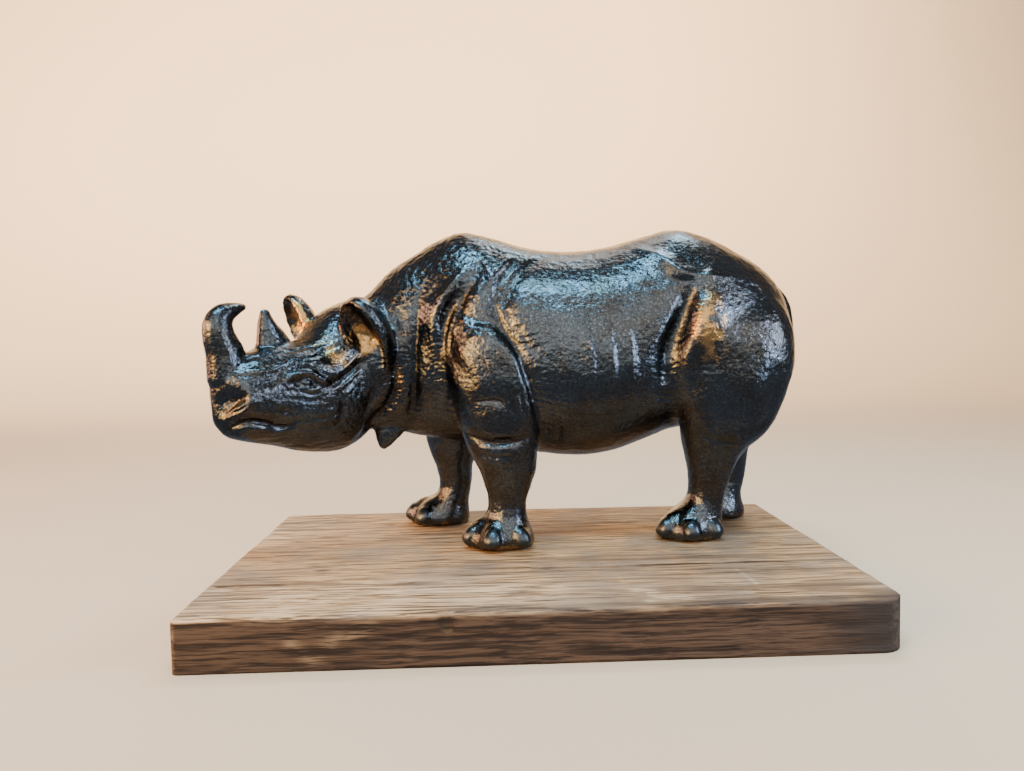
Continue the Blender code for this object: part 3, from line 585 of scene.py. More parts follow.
# Where the coarse steps of the folds melt, as x and height, and the limb that each moves with
MELTED = (
    ("", ((32.0, 26.0), (31.3, 36.5), (31.6, 40.3), (33.2, 44.6), (33.9, 49.2), (35.6, 53.4))),
    ("fore", ((-10.8, 30.6), (-8.4, 30.8), (-5.4, 30.2))),
    ("", ((-12.6, 55.8), (-16.5, 49.5), (-17.6, 44.3), (-17.9, 42.0))),
    ("", ((-2.9, 59.2), (-5.2, 56.0), (-6.2, 53.0), (-8.2, 49.0))),
    ("", ((3.9, 59.6), (0.8, 57.3), (-1.6, 55.2), (-3.4, 50.2))),
)
# How many passes melt them
MELTING_PASSES = 24


def soften_forms(skin):
    """Melts the coarse steps round the eyes and along the folds that the fine carving draws anew."""
    share = np.zeros(len(skin.places))
    for side in (1.0, -1.0):
        for line, whole, none in ((EYE, 3.6, 6.0), (NOSTRIL[:2], 2.4, 4.0)):
            spots, _ = on_face(skin, side, line)
            gap = np.linalg.norm(skin.places - spots[0], axis=1)
            share = np.maximum(share, 1.0 - smooth_step(gap, whole, none))
    for side, fore in ((NEAR, 0.0), (FAR, FAR_FORE_SHIFT)):
        for limb, points in MELTED:
            line = on_flank(skin, side, points, fore if limb else 0.0)
            picked, gap, _, _, _ = skin.near(line, 3.2)
            share[picked] = np.maximum(share[picked], 1.0 - smooth_step(gap, 1.4, 3.2))
    share = np.maximum(share, 0.75 * (1.0 - smooth_step(skin.places[:, 2], 4.0, 8.0)))
    skin.soften(share, MELTING_PASSES)


def toe_shares(skin):
    """For each toe, how far each vertex is from the nail's middle in nail sizes."""
    for x, y, ways in FEET:
        for degrees in ways:
            way = math.radians(degrees)
            out = np.array([math.cos(way), math.sin(way), 0.0])
            spots, _ = skin.seat([(x, y, NAIL[2])], -out, 10.0)
            off = skin.places - spots[0]
            across = off @ np.array([-out[1], out[0], 0.0])
            ahead = off @ out
            oval = np.hypot(across / NAIL[0], off[:, 2] / NAIL[1])
            oval[(np.abs(ahead) > 3.0) | (skin.normals @ out < 0.0)] = 9.0
            yield oval


def shape_feet(skin):
    """Toenails: smooth domed shields with a groove round each."""
    for oval in list(toe_shares(skin)):
        picked = np.flatnonzero(oval < 2.0)
        share = oval[picked]
        dome = 0.12 * (1.0 - smooth_step(share, 0.55, 1.1))
        cuticle = 0.15 * np.exp(-((share - 1.15) / 0.13) ** 2)
        skin.push(picked, dome - cuticle)


def masks(skin):
    """For each spot: how hollow it is, from -1 on ridges to 1 in furrows, with painted shade in the upper
    mouth of the near ear counted as hollow, whether it is on a toenail, and how much it takes the bronze
    colour, both where bronze shows and as painted gold highlights where the gold light falls."""
    soft = skin.places
    for _ in range(7):
        soft = skin.neighbours(soft)
    hollow = np.sum((soft - skin.places) * skin.normals, axis=1)
    nail = np.zeros(len(skin.places))
    for oval in toe_shares(skin):
        nail = np.maximum(nail, 1.0 - smooth_step(oval, 0.9, 1.1))
    painted_ear_shade = np.zeros(len(skin.places))
    bare = np.zeros(len(skin.places))
    x, y, z = skin.places.T
    forward = head_vector(1.0, 0.0, 0.0)
    # Painted shade in the near ear's upper mouth, and painted gold highlights in the rest of both ears' mouths
    for u, v, w in EAR_MOUTHS:
        gap = np.linalg.norm((skin.places - head_place(u, v, w)) / EAR_REACH, axis=1)
        inside = (1.0 - smooth_step(gap, 0.7, 1.1)) * smooth_step(skin.normals @ forward, 0.0, 0.4)
        upper = smooth_step(z, w - 1.0, w + 2.5) if v > 0.0 else 0.0 * z
        painted_ear_shade = np.maximum(painted_ear_shade, inside * upper)
        bare = np.maximum(bare, 1.7 * inside * (1.0 - upper))
    u, v, w = skin.head_coordinates()
    on_head = skin.on_head()
    bare = np.maximum(bare, 1.1 * on_head * np.exp(-((u - 5.0) / 4.8) ** 2 - ((w - 41.0) / 3.2) ** 2))
    bare = np.maximum(bare, 0.35 * on_head * window(u, -1.0, 10.0, 2.0) * smooth_step(w, 41.0, 44.0))
    bare = np.maximum(bare, 0.2 * on_head * smooth_step(u, 23.8, 26.0) * window(w, 27.5, 38.5, 1.5))
    # Painted gold highlights on the flanks and ribs, where the gold light falls
    for (a, b), (wide, high), amount in GOLD_SHEEN_SPOTS:
        spot = np.exp(-((x - a) / wide) ** 2 - ((z - b) / high) ** 2) * (np.abs(y) > 4.0) * (1.0 - on_head)
        bare = np.maximum(bare, amount * spot)
    toe_gaps = smooth_step(hollow, 0.03, 0.12) * (1.0 - smooth_step(z, 5.0, 7.0))
    sole = (1.0 - smooth_step(z, 0.6, 1.6)) + 0.7 * toe_gaps
    bare = np.maximum(bare, 0.6 * np.clip(sole, 0.0, 1.0) * (1.0 - nail))
    bare *= 0.55 + 0.45 * np.clip(1.6 * clouds(skin.places, 1.6, 51), -1.0, 1.0)
    return np.clip(np.maximum(hollow / 0.2, painted_ear_shade), -1.0, 1.0), nail, bare


def write_attribute(mesh, name, values):
    layer = mesh.attributes.new(name, "FLOAT", "POINT")
    layer.data.foreach_set("value", np.ascontiguousarray(values, dtype=np.float32))


# Materials

def add_node(tree, kind, links=None, **settings):
    """Adds a node, sets it up, and fills or wires its sockets."""
    made = tree.nodes.new(kind)
    for name, value in settings.items():
        setattr(made, name, value)
    for name, value in (links or {}).items():
        if isinstance(value, bpy.types.NodeSocket):
            tree.links.new(value, made.inputs[name])
        else:
            made.inputs[name].default_value = value
    return made


def stored(tree, *names):
    """The values that the mesh's points carry under these names."""
    return [add_node(tree, "ShaderNodeAttribute", attribute_name=name).outputs["Fac"] for name in names]


def noise(tree, place, size, detail, roughness=0.5):
    """Smooth random values whose widest lumps are one size across."""
    return add_node(tree, "ShaderNodeTexNoise", {"Vector": place, "Scale": 1.0 / size, "Detail": detail,
                                                 "Roughness": roughness}).outputs["Fac"]


def mapped(tree, value, low, high, to_low=0.0, to_high=1.0):
    """A value taken from one range to another and held within it."""
    return add_node(tree, "ShaderNodeMapRange", {"Value": value, "From Min": low, "From Max": high,
                                                 "To Min": to_low, "To Max": to_high}).outputs[0]


def scaled(tree, value, factor, term):
    return add_node(tree, "ShaderNodeMath", {0: value, 1: factor, 2: term},
                    operation="MULTIPLY_ADD").outputs[0]


def layered(tree, base, layers):
    """A base colour with more colours laid over it, each by its share."""
    for share, over in layers:
        pair = [tone if isinstance(tone, bpy.types.NodeSocket) else (*tone, 1.0) for tone in (base, over)]
        base = add_node(tree, "ShaderNodeMix", {0: share, 6: pair[0], 7: pair[1]}, data_type="RGBA").outputs[2]
    return base


def bumped(tree, height, strength, distance, under=None):
    """A normal that stands up to one distance out, over another relief."""
    links = {"Height": height, "Strength": strength, "Distance": distance}
    if under is not None:
        links["Normal"] = under
    return add_node(tree, "ShaderNodeBump", links).outputs[0]


def new_material(name):
    """A material, its node tree, its shader and the place on the object."""
    made = bpy.data.materials.new(name)
    made.use_nodes = True
    tree = made.node_tree
    place = add_node(tree, "ShaderNodeTexCoord").outputs["Object"]
    return made, tree, tree.nodes["Principled BSDF"], place


# The pits between the grains of the casting, and how far the pits and the grains stand out
PIT_WIDTH = 0.0009
PIT_DEPTH = 0.00011
GRAIN_DEPTH = 0.00009
# How wide a cloud of patina is
PATINA_CLOUD = 0.006
# The wood's strands, bands and silvered patches, and how far its fibres stand out
STRAND_WIDTH = 0.0006
BAND_WIDTH = 0.003
PATCH_WIDTH = 0.013
FIBRE_DEPTH = 0.00022
# A fibre's width as a share of its length
FIBRE_STRETCH = 0.045


def gunmetal(look):
    """Cast white metal with a dark chemical patina. The sand-fine cast grain breaks the light into
    sparks, the hollows keep a brown tint, the ridges are rubbed brighter and bronze shows in places.
    Painted gold highlights lie where the gold light falls, and painted shade darkens the near ear's upper
    mouth."""
    made, tree, shader, place = new_material("Patinated cast gunmetal")
    hollow, nail, bare = stored(tree, "hollow", "nail", "bare")
    deep = mapped(tree, hollow, 0.1, 0.9, 0.0, 0.7)
    proud = mapped(tree, hollow, -0.1, -0.9, 0.0, 0.45)
    grain = noise(tree, place, look.grain, 2.0, 0.7)
    pits = add_node(tree, "ShaderNodeTexVoronoi", {"Vector": place, "Scale": 1.0 / PIT_WIDTH},
                    feature="SMOOTH_F1").outputs["Distance"]
    cloud = noise(tree, place, PATINA_CLOUD, 4.0)
    # Bronze shows where the patina never took or has gone, and the painted gold highlights take the same
    # colour, both broken up by the grain
    thin = scaled(tree, grain, 1.2, -0.6)
    shows = add_node(tree, "ShaderNodeMath", {0: bare, 1: thin}, operation="ADD").outputs[0]
    base = layered(tree, look.patina, (
        (mapped(tree, cloud, 0.42, 0.62), look.bronze),
        # The hollows keep the dark patina, and the near ear's upper mouth takes painted shade
        (deep, look.recess_and_shade),
        (proud, look.rubbed),
        # The patina stays darker in the grain's pits and is rubbed off its tips
        (mapped(tree, grain, 0.48, 0.34, 0.0, 0.5), look.recess_and_shade),
        (mapped(tree, grain, 0.56, 0.7, 0.0, 0.3), look.tip),
        (nail, look.nail),
        # Bronze, and the painted gold highlights where the gold light falls
        (mapped(tree, shows, 0.28, 0.9), look.bare),
    ))
    tree.links.new(base, shader.inputs["Base Color"])
    shader.inputs["Metallic"].default_value = 1.0
    # The hollows and the nails are duller than the glossy hide
    rough = mapped(tree, cloud, 0.3, 0.7, 0.12, 0.18)
    rough = scaled(tree, deep, 0.15, rough)
    rough = scaled(tree, nail, 0.14, rough)
    tree.links.new(rough, shader.inputs["Roughness"])
    quiet = mapped(tree, nail, 0.0, 1.0, 0.9, 0.4)
    relief = bumped(tree, pits, quiet, PIT_DEPTH)
    tree.links.new(bumped(tree, grain, quiet, GRAIN_DEPTH, relief), shader.inputs["Normal"])
    return made


def hardwood(look):
    """Sawn and long weathered hardwood. Fine fibres run along the length, and the top has dried to
    pale tan and silver grey while the edges stay brown."""
    made, tree, shader, place = new_material("Weathered sawn hardwood")
    drawn = add_node(tree, "ShaderNodeMapping", {"Vector": place,
                                                 "Scale": (FIBRE_STRETCH, 1.0, 1.0)}).outputs[0]
    # The fibres wander slightly from the straight
    wavy = add_node(tree, "ShaderNodeTexNoise", {"Vector": place, "Scale": 60.0,
                                                 "Detail": 2.0}).outputs["Color"]
    bent = add_node(tree, "ShaderNodeMix", {0: 0.0004, 6: drawn, 7: wavy}, data_type="RGBA",
                    blend_type="LINEAR_LIGHT").outputs[2]
    strand = noise(tree, bent, STRAND_WIDTH, 3.0, 0.65)
    fibres = scaled(tree, noise(tree, bent, look.fibre, 3.0, 0.7), 0.6, strand)
    bands = noise(tree, bent, BAND_WIDTH, 4.0)
    patch = noise(tree, place, PATCH_WIDTH, 5.0, 0.6)
    side, bleach, stain, rust, split = stored(tree, "edge", "bleach", "stain", "rust", "split")
    tone = mapped(tree, fibres, 0.70, 0.92)
    # Pale scuffs, and the painted light on the left of the top, in the worn colour
    worn = add_node(tree, "ShaderNodeMath", {0: mapped(tree, fibres, 0.74, 0.9), 1: bleach},
                    operation="MULTIPLY").outputs[0]
    base = layered(tree, look.tan, (
        (tone, look.pale),
        (mapped(tree, patch, 0.44, 0.6, 0.0, 0.75), look.grey),
        (mapped(tree, bands, 0.5, 0.66, 0.0, 0.6), look.brown),
        (mapped(tree, fibres, 0.73, 0.63, 0.0, 0.85), look.pore),
        (side, layered(tree, look.sawn_dark, ((tone, look.sawn_pale),))),
        (worn, look.worn),
        (stain, look.stain),
        (rust, look.rust),
        (split, look.split),
    ))
    tree.links.new(base, shader.inputs["Base Color"])
    shader.inputs["Roughness"].default_value = 0.7
    shader.inputs["Specular IOR Level"].default_value = 0.3
    tree.links.new(bumped(tree, fibres, 0.8, FIBRE_DEPTH), shader.inputs["Normal"])
    return made


# Operators

@contextlib.contextmanager
def editing():
    """Edit mode on the active object."""
    bpy.ops.object.mode_set(mode="EDIT")
    yield
    bpy.ops.object.mode_set(mode="OBJECT")


def look_only_at(piece):
    """Makes one object the only selected and active one."""
    bpy.ops.object.select_all(action="DESELECT")
    piece.select_set(True)
    bpy.context.view_layer.objects.active = piece


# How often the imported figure's facets are ironed
IRONING_PASSES = 40
# The swelling behind the thigh's front fold: its middle on the near side, its radii and its rise
THIGH_SWELL = ((37.6, 14.0, 45.0), (5.0, 8.0, 7.6), 0.9)
# Below this height in millimetres the soles are pressed flat
SOLE_REACH = 0.25
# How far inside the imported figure's box the casting stays, in millimetres
BOX_MARGIN = 0.02


def refine(piece, look):
    """Turns the active piece's facets into a fine even mesh."""
    with editing():
        bpy.ops.mesh.select_all(action="SELECT")
        bpy.ops.mesh.remove_doubles(threshold=0.00001)
        bpy.ops.mesh.normals_make_consistent(inside=False)
    remesh = piece.modifiers.new("fine skin", "REMESH")
    remesh.mode = "VOXEL"
    remesh.voxel_size = look.voxel
    bpy.ops.object.modifier_apply(modifier=remesh.name)


def carve(skin, look):
    """Irons the facets out and carves all of the relief."""
    forward, _, height = skin.head_coordinates()
    behind = smooth_step(skin.places[:, 0], -36.0, -33.0)
    head = smooth_step(forward, -4.0, 2.0) * smooth_step(height, 17.0, 20.0) * (1.0 - behind)
    feet = 1.0 - smooth_step(skin.places[:, 2], 5.0, 9.0)
    skin.iron(1.0 - 0.75 * np.maximum(head, feet), IRONING_PASSES)
    skin.settle()
    soften_forms(skin)
    skin.settle()
    carve_lines(skin)
    skin.settle()
    carve_eyes(skin)
    (x, y, z), radii, rise = THIGH_SWELL
    for side in (NEAR, FAR):
        skin.swell((x, side * y, z), radii, rise)
    shape_feet(skin)
    carve_creases(skin, look)
    skin.iron(np.ones(len(skin.places)), 1)
    skin.places[skin.places[:, 2] < SOLE_REACH, 2] = 0.0
    # The soles lie on the box's floor, and the rest stays a little inside the box
    low, high = [(corner - SEAT) * MM for corner in (FIGURE_LOW, FIGURE_HIGH)]
    skin.places = np.clip(skin.places, low + BOX_MARGIN * (low < -1.0), high - BOX_MARGIN)
    skin.settle()


class MESH_OT_cast_rhinoceros(bpy.types.Operator):
    """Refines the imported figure's skin, carves its relief and gives it its patina"""

    bl_idname = "mesh.cast_rhinoceros"
    bl_label = "Cast rhinoceros"

    def execute(self, context):
        look = context.scene.casting_look
        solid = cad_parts["rhinoceros"]
        piece = bpy.data.objects.new("rhinoceros_casting", solid.data.copy())
        context.collection.objects.link(piece)
        look_only_at(piece)
        refine(piece, look)
        skin = Skin(piece)
        carve(skin, look)
        for name, values in zip(("hollow", "nail", "bare"), masks(skin)):
            write_attribute(piece.data, name, values)
        thin = piece.modifiers.new("fewer facets", "DECIMATE")
        thin.ratio = look.triangles / (2.0 * len(piece.data.polygons))
        bpy.ops.object.modifier_apply(modifier=thin.name)
        piece.data.materials.clear()
        piece.data.materials.append(gunmetal(look))
        bpy.ops.object.shade_smooth()
        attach(piece, "root")
        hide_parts("rhinoceros")
        return {"FINISHED"}


class MESH_OT_weathered_board(bpy.types.Operator):
    """Builds the worn hardwood board"""

    bl_idname = "mesh.weathered_board"
    bl_label = "Weathered board"

    def execute(self, context):
        look = context.scene.board_look
        length = BOARD_HIGH[0] - BOARD_LOW[0]
        depth = BOARD_HIGH[1] - BOARD_LOW[1]
        thick = BOARD_HIGH[2] - BOARD_LOW[2]
        columns = int(round(length / look.cell))
        rows = int(round(depth / look.cell))
        layers = int(round(thick / look.cell))
        bpy.ops.object.select_all(action="DESELECT")
        bpy.ops.mesh.primitive_grid_add(x_subdivisions=columns, y_subdivisions=rows, size=1.0,
                                        location=(0.0, 0.0, 0.0))
        piece = context.active_object
        piece.name = "hardwood_board"
        with editing():
            bpy.ops.mesh.select_all(action="SELECT")
            bpy.ops.transform.resize(value=(length, depth, 1.0))
            bpy.ops.transform.translate(value=(0.0, 0.0, BOARD_HIGH[2]))
            bpy.ops.mesh.select_all(action="DESELECT")
            bpy.ops.mesh.select_non_manifold()
            for _ in range(layers):
                bpy.ops.mesh.extrude_region_move(TRANSFORM_OT_translate={"value": (0.0, 0.0, -thick / layers)})
            bpy.ops.mesh.edge_face_add()
            bpy.ops.mesh.select_all(action="SELECT")
            bpy.ops.mesh.normals_make_consistent(inside=False)
        wear_board(piece, look, length, depth, thick)
        piece.data.materials.append(hardwood(look))
        look_only_at(piece)
        bpy.ops.object.shade_smooth()
        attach(piece, "root")
        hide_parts("board")
        return {"FINISHED"}


# Marks on the top as x and y, and on the front as x and height. Each: points, half width
PALE_MARKS = (
    (((-57.0, -30.0), (-48.0, -28.0), (-36.0, -29.0)), 1.6),
    (((-36.0, -29.0), (-24.5, -25.0), (-12.0, -23.5)), 1.2),
    (((17.0, -29.0), (21.0, -32.0), (26.0, -34.5)), 1.5),
    (((18.0, -34.0), (24.0, -30.5)), 1.0),
    (((-1.6, -30.2), (1.4, -29.6)), 0.9),
    (((-11.6, -26.6), (-9.0, -26.2)), 0.8),
    (((37.2, -17.4), (38.2, -28.1)), 0.35),
    (((-59.0, -36.4), (-20.0, -36.5), (10.0, -36.6)), 0.4),
)
FRONT_MARKS = (
    (((-40.7, 4.4), (-37.6, 1.9), (-34.4, 4.2), (-32.7, 5.8)), 1.1),
    (((-31.2, 5.0), (-29.0, 7.2), (-27.5, 8.9)), 1.3),
    (((-60.0, 8.3), (-20.0, 8.4), (20.0, 8.4)), 0.35),
)
RUST_MARKS = (
    (((-36.6, 5.7), (-24.0, 8.5)), 2.6),
    (((-15.0, -2.0), (-6.7, -2.8)), 4.2),
)
# Dark stains: middle, half sizes, how much, and whether they keep to the top
STAINS = (
    ((60.0, -37.0), (15.0, 7.0), 0.85, "all"),
    ((50.0, -29.0), (9.0, 5.0), 0.5, "top"),
    ((-40.9, -11.9), (2.2, 1.0), 0.8, "top"),
)
SPLITS = (
    (((-0.7, -13.6), (12.0, -14.0), (30.0, -13.7), (45.0, -14.1), (59.6, -13.8)), 0.4),
    (((-58.0, -20.4), (-40.0, -19.8), (-22.0, -20.6)), 0.3),
)
FRONT_SPLITS = (
    (((-16.5, 8.4), (-15.5, 5.9), (-15.1, 9.0)), 0.8),
)


def traced(a, b, marks):
    """How strongly the nearest of some marks touches each spot, from 0 to 1."""
    return np.max([np.exp(-(line_gap(a, b, points) / width) ** 2) for points, width in marks], axis=0)


def wear_board(piece, look, length, depth, thick):
    """Rounds the corners and arrises and dents the faces, then marks the stains."""
    mesh = piece.data
    flat = np.empty(len(mesh.vertices) * 3)
    mesh.vertices.foreach_get("co", flat)
    x, y, z = flat.reshape(-1, 3).T.copy()
    # Vertical corners
    for sx, sy, radius in ((1, -1, look.worn_corner), (1, 1, look.corner), (-1, 1, look.corner),
                           (-1, -1, look.corner)):
        dx = sx * x - (length / 2 - radius)
        dy = sy * y - (depth / 2 - radius)
        corner = (dx > 0) & (dy > 0)
        share = np.maximum(dx[corner], dy[corner]) / np.hypot(dx[corner], dy[corner])
        x[corner] = sx * (length / 2 - radius + dx[corner] * share)
        y[corner] = sy * (depth / 2 - radius + dy[corner] * share)
    # Arrises, worn unevenly
    spots = np.column_stack((x, y, z)) * MM
    wear = look.arris * (0.9 + 0.25 * clouds(spots, 14.0, 21) + 0.15 * clouds(spots, 3.0, 22))
    wear = np.clip(wear, 0.0003, 0.0013)
    inner = np.column_stack((np.clip(x, -length / 2 + wear, length / 2 - wear),
                             np.clip(y, -depth / 2 + wear, depth / 2 - wear),
                             np.clip(z, 0.0, thick - wear)))
    out = np.column_stack((x, y, z)) - inner
    size = np.linalg.norm(out, axis=1)
    far = size > wear
    out[far] *= (wear[far] / size[far])[:, None]
    p = inner + out
    # Shallow waves along the grain
    top = smooth_step(p[:, 2], thick - 0.0012, thick - 0.0002)
    waves = clouds(p * MM, (26.0, 3.0, 5.0), 23) + 0.6 * clouds(p * MM, (9.0, 1.3, 3.0), 24)
    p[:, 2] -= top * 0.00010 * (1.2 + waves)
    p[:, 2] -= top * 0.0003 * traced(p[:, 0] * MM, p[:, 1] * MM, SPLITS)
    front = smooth_step(-p[:, 1], depth / 2 - 0.0012, depth / 2 - 0.0002) * smooth_step(p[:, 2], 0.0, 0.001)
    p[:, 1] += front * 0.00012 * (1.2 + clouds(p * MM, (18.0, 3.0, 1.6), 25))
    p[:, 1] += front * 0.00025 * traced(p[:, 0] * MM, p[:, 2] * MM, FRONT_SPLITS)
    p[:, 2] = np.maximum(p[:, 2], 0.0)
    mesh.vertices.foreach_set("co", p.ravel())
    mesh.update()
    mark_board(mesh, p * MM, thick * MM)


def mark_board(mesh, spots, thick):
    """Stores where the board is sawn edge, scuffed pale, painted paler where the light falls on the left of
    its top, stained, rust-tinted or split.
    """
    x, y, z = spots.T
    side = 1.0 - smooth_step(z, thick - 0.9, thick - 0.15)
    side *= np.maximum(smooth_step(np.abs(x), 59.0, 59.8), smooth_step(np.abs(y), 36.0, 36.8))
    front = side * (y < 0.0)
    top = 1.0 - side
    rough = 0.5 + 0.5 * clouds(spots, (7.0, 2.2, 2.2), 31)
    torn = 0.5 + 0.5 * clouds(spots, (2.4, 0.7, 0.7), 32)
    # Painted light: the front left and the left of the top are made paler, where the light falls brighter
    bleach = smooth_step(-y, 12.0, 26.0) * (1.0 - smooth_step(x, -12.0, 16.0)) * top * (0.25 + 0.75 * rough)
    painted_light_left = smooth_step(-x, 5.0, 42.0) * smooth_step(y, -8.0, 18.0) * top
    bleach = np.maximum(bleach, 1.1 * painted_light_left * (0.5 + 0.5 * rough))
    bleach = np.maximum(bleach, 1.4 * traced(x, y, PALE_MARKS) * top * smooth_step(torn, 0.3, 0.6))
    bleach = np.maximum(bleach, 0.2 * traced(x, z, FRONT_MARKS) * front * smooth_step(torn, 0.2, 0.5))
    stain = smooth_step(-y, 32.0, 35.5) * smooth_step(x, -34.0, 0.0) * top
    stain *= 0.75 * smooth_step(rough, 0.2, 0.7)
    for (a, b), (wide, deep), amount, where in STAINS:
        spot = smooth_step(np.hypot((x - a) / wide, (y - b) / deep), 1.1, 0.3)
        stain = np.maximum(stain, amount * spot * (top if where == "top" else 1.0))
    rust = 0.5 * traced(x, y, RUST_MARKS) * top * (0.5 + 0.5 * rough)
    split = np.maximum(traced(x, y, SPLITS) * top, traced(x, z, FRONT_SPLITS) * front)
    write_attribute(mesh, "edge", side)
    write_attribute(mesh, "bleach", np.clip(bleach, 0.0, 1.0))
    write_attribute(mesh, "stain", np.clip(stain, 0.0, 1.0))
    write_attribute(mesh, "rust", rust)
    write_attribute(mesh, "split", 0.8 * split * smooth_step(torn, 0.15, 0.5))


def line_gap(a, b, points):
    """How far each spot is from a line through the given points."""
    best = np.full(len(a), 999.0)
    for (a0, b0), (a1, b1) in zip(points, points[1:]):
        length = (a1 - a0) ** 2 + (b1 - b0) ** 2
        t = np.clip(((a - a0) * (a1 - a0) + (b - b0) * (b1 - b0)) / length, 0.0, 1.0)
        best = np.minimum(best, np.hypot(a - a0 - t * (a1 - a0), b - b0 - t * (b1 - b0)))
    return best


# The floor's width and depth, where it lies behind and under the board, the backdrop's height and sweep
FLOOR = (6.0, 2.2)
FLOOR_SHIFT = -0.2
FLOOR_DROP = 0.00005
BACKDROP_HEIGHT = 1.8
SWEEP = 0.5
# The camera's place, turn in degrees and focal length, fitted to the board's corners in the photo
CAMERA_PLACE = (-0.00756, -0.15832, 0.05256)
CAMERA_TURN = (86.529, 1.178, -1.571)
FOCAL_LENGTH = 27.07


# The lamps. Each: name, its power's setting, colour, width, height, place, what it is aimed at, how wide
# it throws in degrees
LAMPS = (
    ("gold key", "key_power", "#ffc06a", 0.25, 0.20, (-0.385, -0.325, 0.17), (0.0, 0.0, 0.05), 110.0),
    ("copper side", "side_power", "#ffae80", 0.34, 0.24, (-0.54, 0.0, 0.17), (0.0, 0.0, 0.05), 110.0),
    ("cool top", "top_power", "#a6e4ff", 0.32, 0.03, (-0.04, -0.18, 0.50), (0.0, 0.0, 0.05), 120.0),
    ("cool rear", "rear_power", "#b4e8ff", 0.07, 0.05, (0.15, 0.19, 0.50), (0.04, 0.0, 0.07), 120.0),
    ("rear panel", "panel_power", "#f4f0e8", 0.30, 0.24, (0.13, 0.25, 0.56), (0.03, 0.0, 0.06), 120.0),
    ("tall strip", "strip_power", "#d4e6ff", 0.034, 0.13, (0.228, -0.119, 0.115), (0.06, 0.0, 0.06), 120.0),
    ("front panel", "front_power", "#f2ece0", 1.80, 0.86, (0.0, -0.95, 0.64), (0.0, 0.0, 0.52), 160.0),
    ("backdrop light", "wall_power", "#ffdcb4", 1.60, 0.30, (-0.2, 0.35, 0.90), (-0.25, 0.90, 0.30), 100.0),
    ("soft overhead", "soft_power", "#fff0dc", 0.90, 0.60, (-0.1, 0.0, 0.90), (0.0, 0.0, 0.0), 160.0),
)


def lay_floor(look):
    """A floor, and a backdrop that sweeps up from its back edge."""
    bpy.ops.object.select_all(action="DESELECT")
    bpy.ops.mesh.primitive_plane_add(size=1.0, location=(0.0, 0.0, 0.0))
    floor = bpy.context.active_object
    floor.name = "floor"
    corners = floor.data.vertices
    with editing():
        bpy.ops.mesh.select_all(action="SELECT")
        bpy.ops.transform.resize(value=(*FLOOR, 1.0))
        bpy.ops.transform.translate(value=(0.0, FLOOR_SHIFT, -FLOOR_DROP))
        bpy.ops.mesh.select_all(action="DESELECT")
    # The back edge goes up as the backdrop
    for edge in floor.data.edges:
        edge.select = all(corners[i].co.y > 0.8 for i in edge.vertices)
    with editing():
        bpy.ops.mesh.select_mode(type="EDGE")
        bpy.ops.mesh.extrude_region_move(TRANSFORM_OT_translate={"value": (0.0, 0.0, BACKDROP_HEIGHT)})
    # The corner between them is swept round
    corners = floor.data.vertices
    for edge in floor.data.edges:
        edge.select = all(corners[i].co.y > 0.8 and corners[i].co.z < 0.1 for i in edge.vertices)
    with editing():
        bpy.ops.mesh.bevel(offset=SWEEP, segments=16, affect="EDGES")
    bpy.ops.object.shade_smooth()
    # The flat part stays the floor, and the rest is an object of its own
    for face in floor.data.polygons:
        face.select = face.center.z > 0.001
    with editing():
        bpy.ops.mesh.select_mode(type="FACE")
        bpy.ops.mesh.separate(type="SELECTED")
    backdrop = [item for item in bpy.context.selected_objects if item is not floor][0]
    backdrop.name = "backdrop"
    paper = bpy.data.materials.new("Matt painted floor")
    paper.use_nodes = True
    shader = paper.node_tree.nodes["Principled BSDF"]
    shader.inputs["Base Color"].default_value = (*look.floor, 1.0)
    shader.inputs["Roughness"].default_value = 0.9
    shader.inputs["Specular IOR Level"].default_value = 0.2
    for item in (floor, backdrop):
        item.data.materials.append(paper)
    # The flat floor stays out of the metal's reflections, like a dark cloth round a small casting
    floor.visible_glossy = False


def hang_lamps(look):
    """The lamps, and the dim light all round."""
    for name, power, code, width, height, spot, target, throw in LAMPS:
        bpy.ops.object.light_add(type="AREA", location=spot)
        lamp = bpy.context.active_object
        lamp.name = name
        lamp.data.energy = getattr(look, power)
        lamp.data.color = linear(code)
        lamp.data.shape = "RECTANGLE"
        lamp.data.size = width
        lamp.data.size_y = height
        lamp.data.spread = math.radians(throw)
        # The soft light only fills the board and the backdrop, and makes no bright patch on the metal
        lamp.visible_glossy = name != "soft overhead"
        aim = Vector(target) - Vector(spot)
        lamp.rotation_euler = aim.to_track_quat("-Z", "Y").to_euler()
    world = bpy.data.worlds.new("soft studio")
    bpy.context.scene.world = world
    world.use_nodes = True
    sky = world.node_tree.nodes["Background"]
    sky.inputs["Color"].default_value = (*linear("#d6d9e2"), 1.0)
    sky.inputs["Strength"].default_value = 0.42


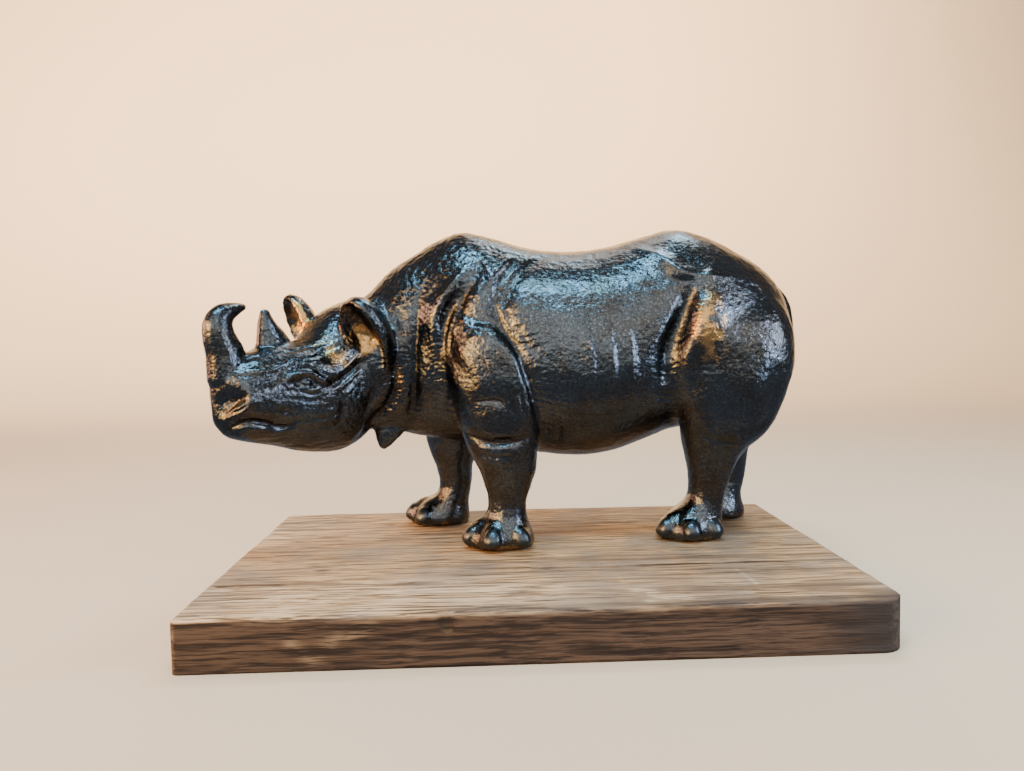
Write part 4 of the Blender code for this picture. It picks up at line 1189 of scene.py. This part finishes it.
def set_camera():
    """The camera at the photo's angle."""
    bpy.ops.object.camera_add(location=CAMERA_PLACE, rotation=[math.radians(a) for a in CAMERA_TURN])
    camera = bpy.context.active_object
    camera.name = "view"
    camera.data.lens = FOCAL_LENGTH
    camera.data.sensor_width = 36.0
    camera.data.clip_start = 0.005
    bpy.context.scene.camera = camera


class SCENE_OT_studio_stage(bpy.types.Operator):
    """Adds the pale floor, the soft lights and the camera"""

    bl_idname = "scene.studio_stage"
    bl_label = "Studio stage"

    def execute(self, context):
        look = context.scene.stage_look
        lay_floor(look)
        hang_lamps(look)
        set_camera()
        return {"FINISHED"}


class VIEW3D_PT_rhinoceros(bpy.types.Panel):
    """Sizes and colours of the casting, the board and the stage"""

    bl_label = "Rhinoceros"
    bl_idname = "VIEW3D_PT_rhinoceros"
    bl_space_type = "VIEW_3D"
    bl_region_type = "UI"
    bl_category = "Rhinoceros"

    def draw(self, context):
        for name, operator in (("casting_look", "mesh.cast_rhinoceros"),
                               ("board_look", "mesh.weathered_board"),
                               ("stage_look", "scene.studio_stage")):
            box = self.layout.box()
            group = getattr(context.scene, name)
            for key in group.__annotations__:
                box.prop(group, key)
            box.operator(operator)


CLASSES = (CastingLook, BoardLook, StageLook, MESH_OT_cast_rhinoceros, MESH_OT_weathered_board,
           SCENE_OT_studio_stage, VIEW3D_PT_rhinoceros)


def register():
    for item in CLASSES:
        bpy.utils.register_class(item)
    bpy.types.Scene.casting_look = bpy.props.PointerProperty(type=CastingLook)
    bpy.types.Scene.board_look = bpy.props.PointerProperty(type=BoardLook)
    bpy.types.Scene.stage_look = bpy.props.PointerProperty(type=StageLook)


def unregister():
    del bpy.types.Scene.stage_look
    del bpy.types.Scene.board_look
    del bpy.types.Scene.casting_look
    for item in reversed(CLASSES):
        bpy.utils.unregister_class(item)


def main():
    register()
    bpy.ops.mesh.cast_rhinoceros()
    bpy.ops.mesh.weathered_board()
    bpy.ops.scene.studio_stage()


if __name__ == "__main__":
    main()
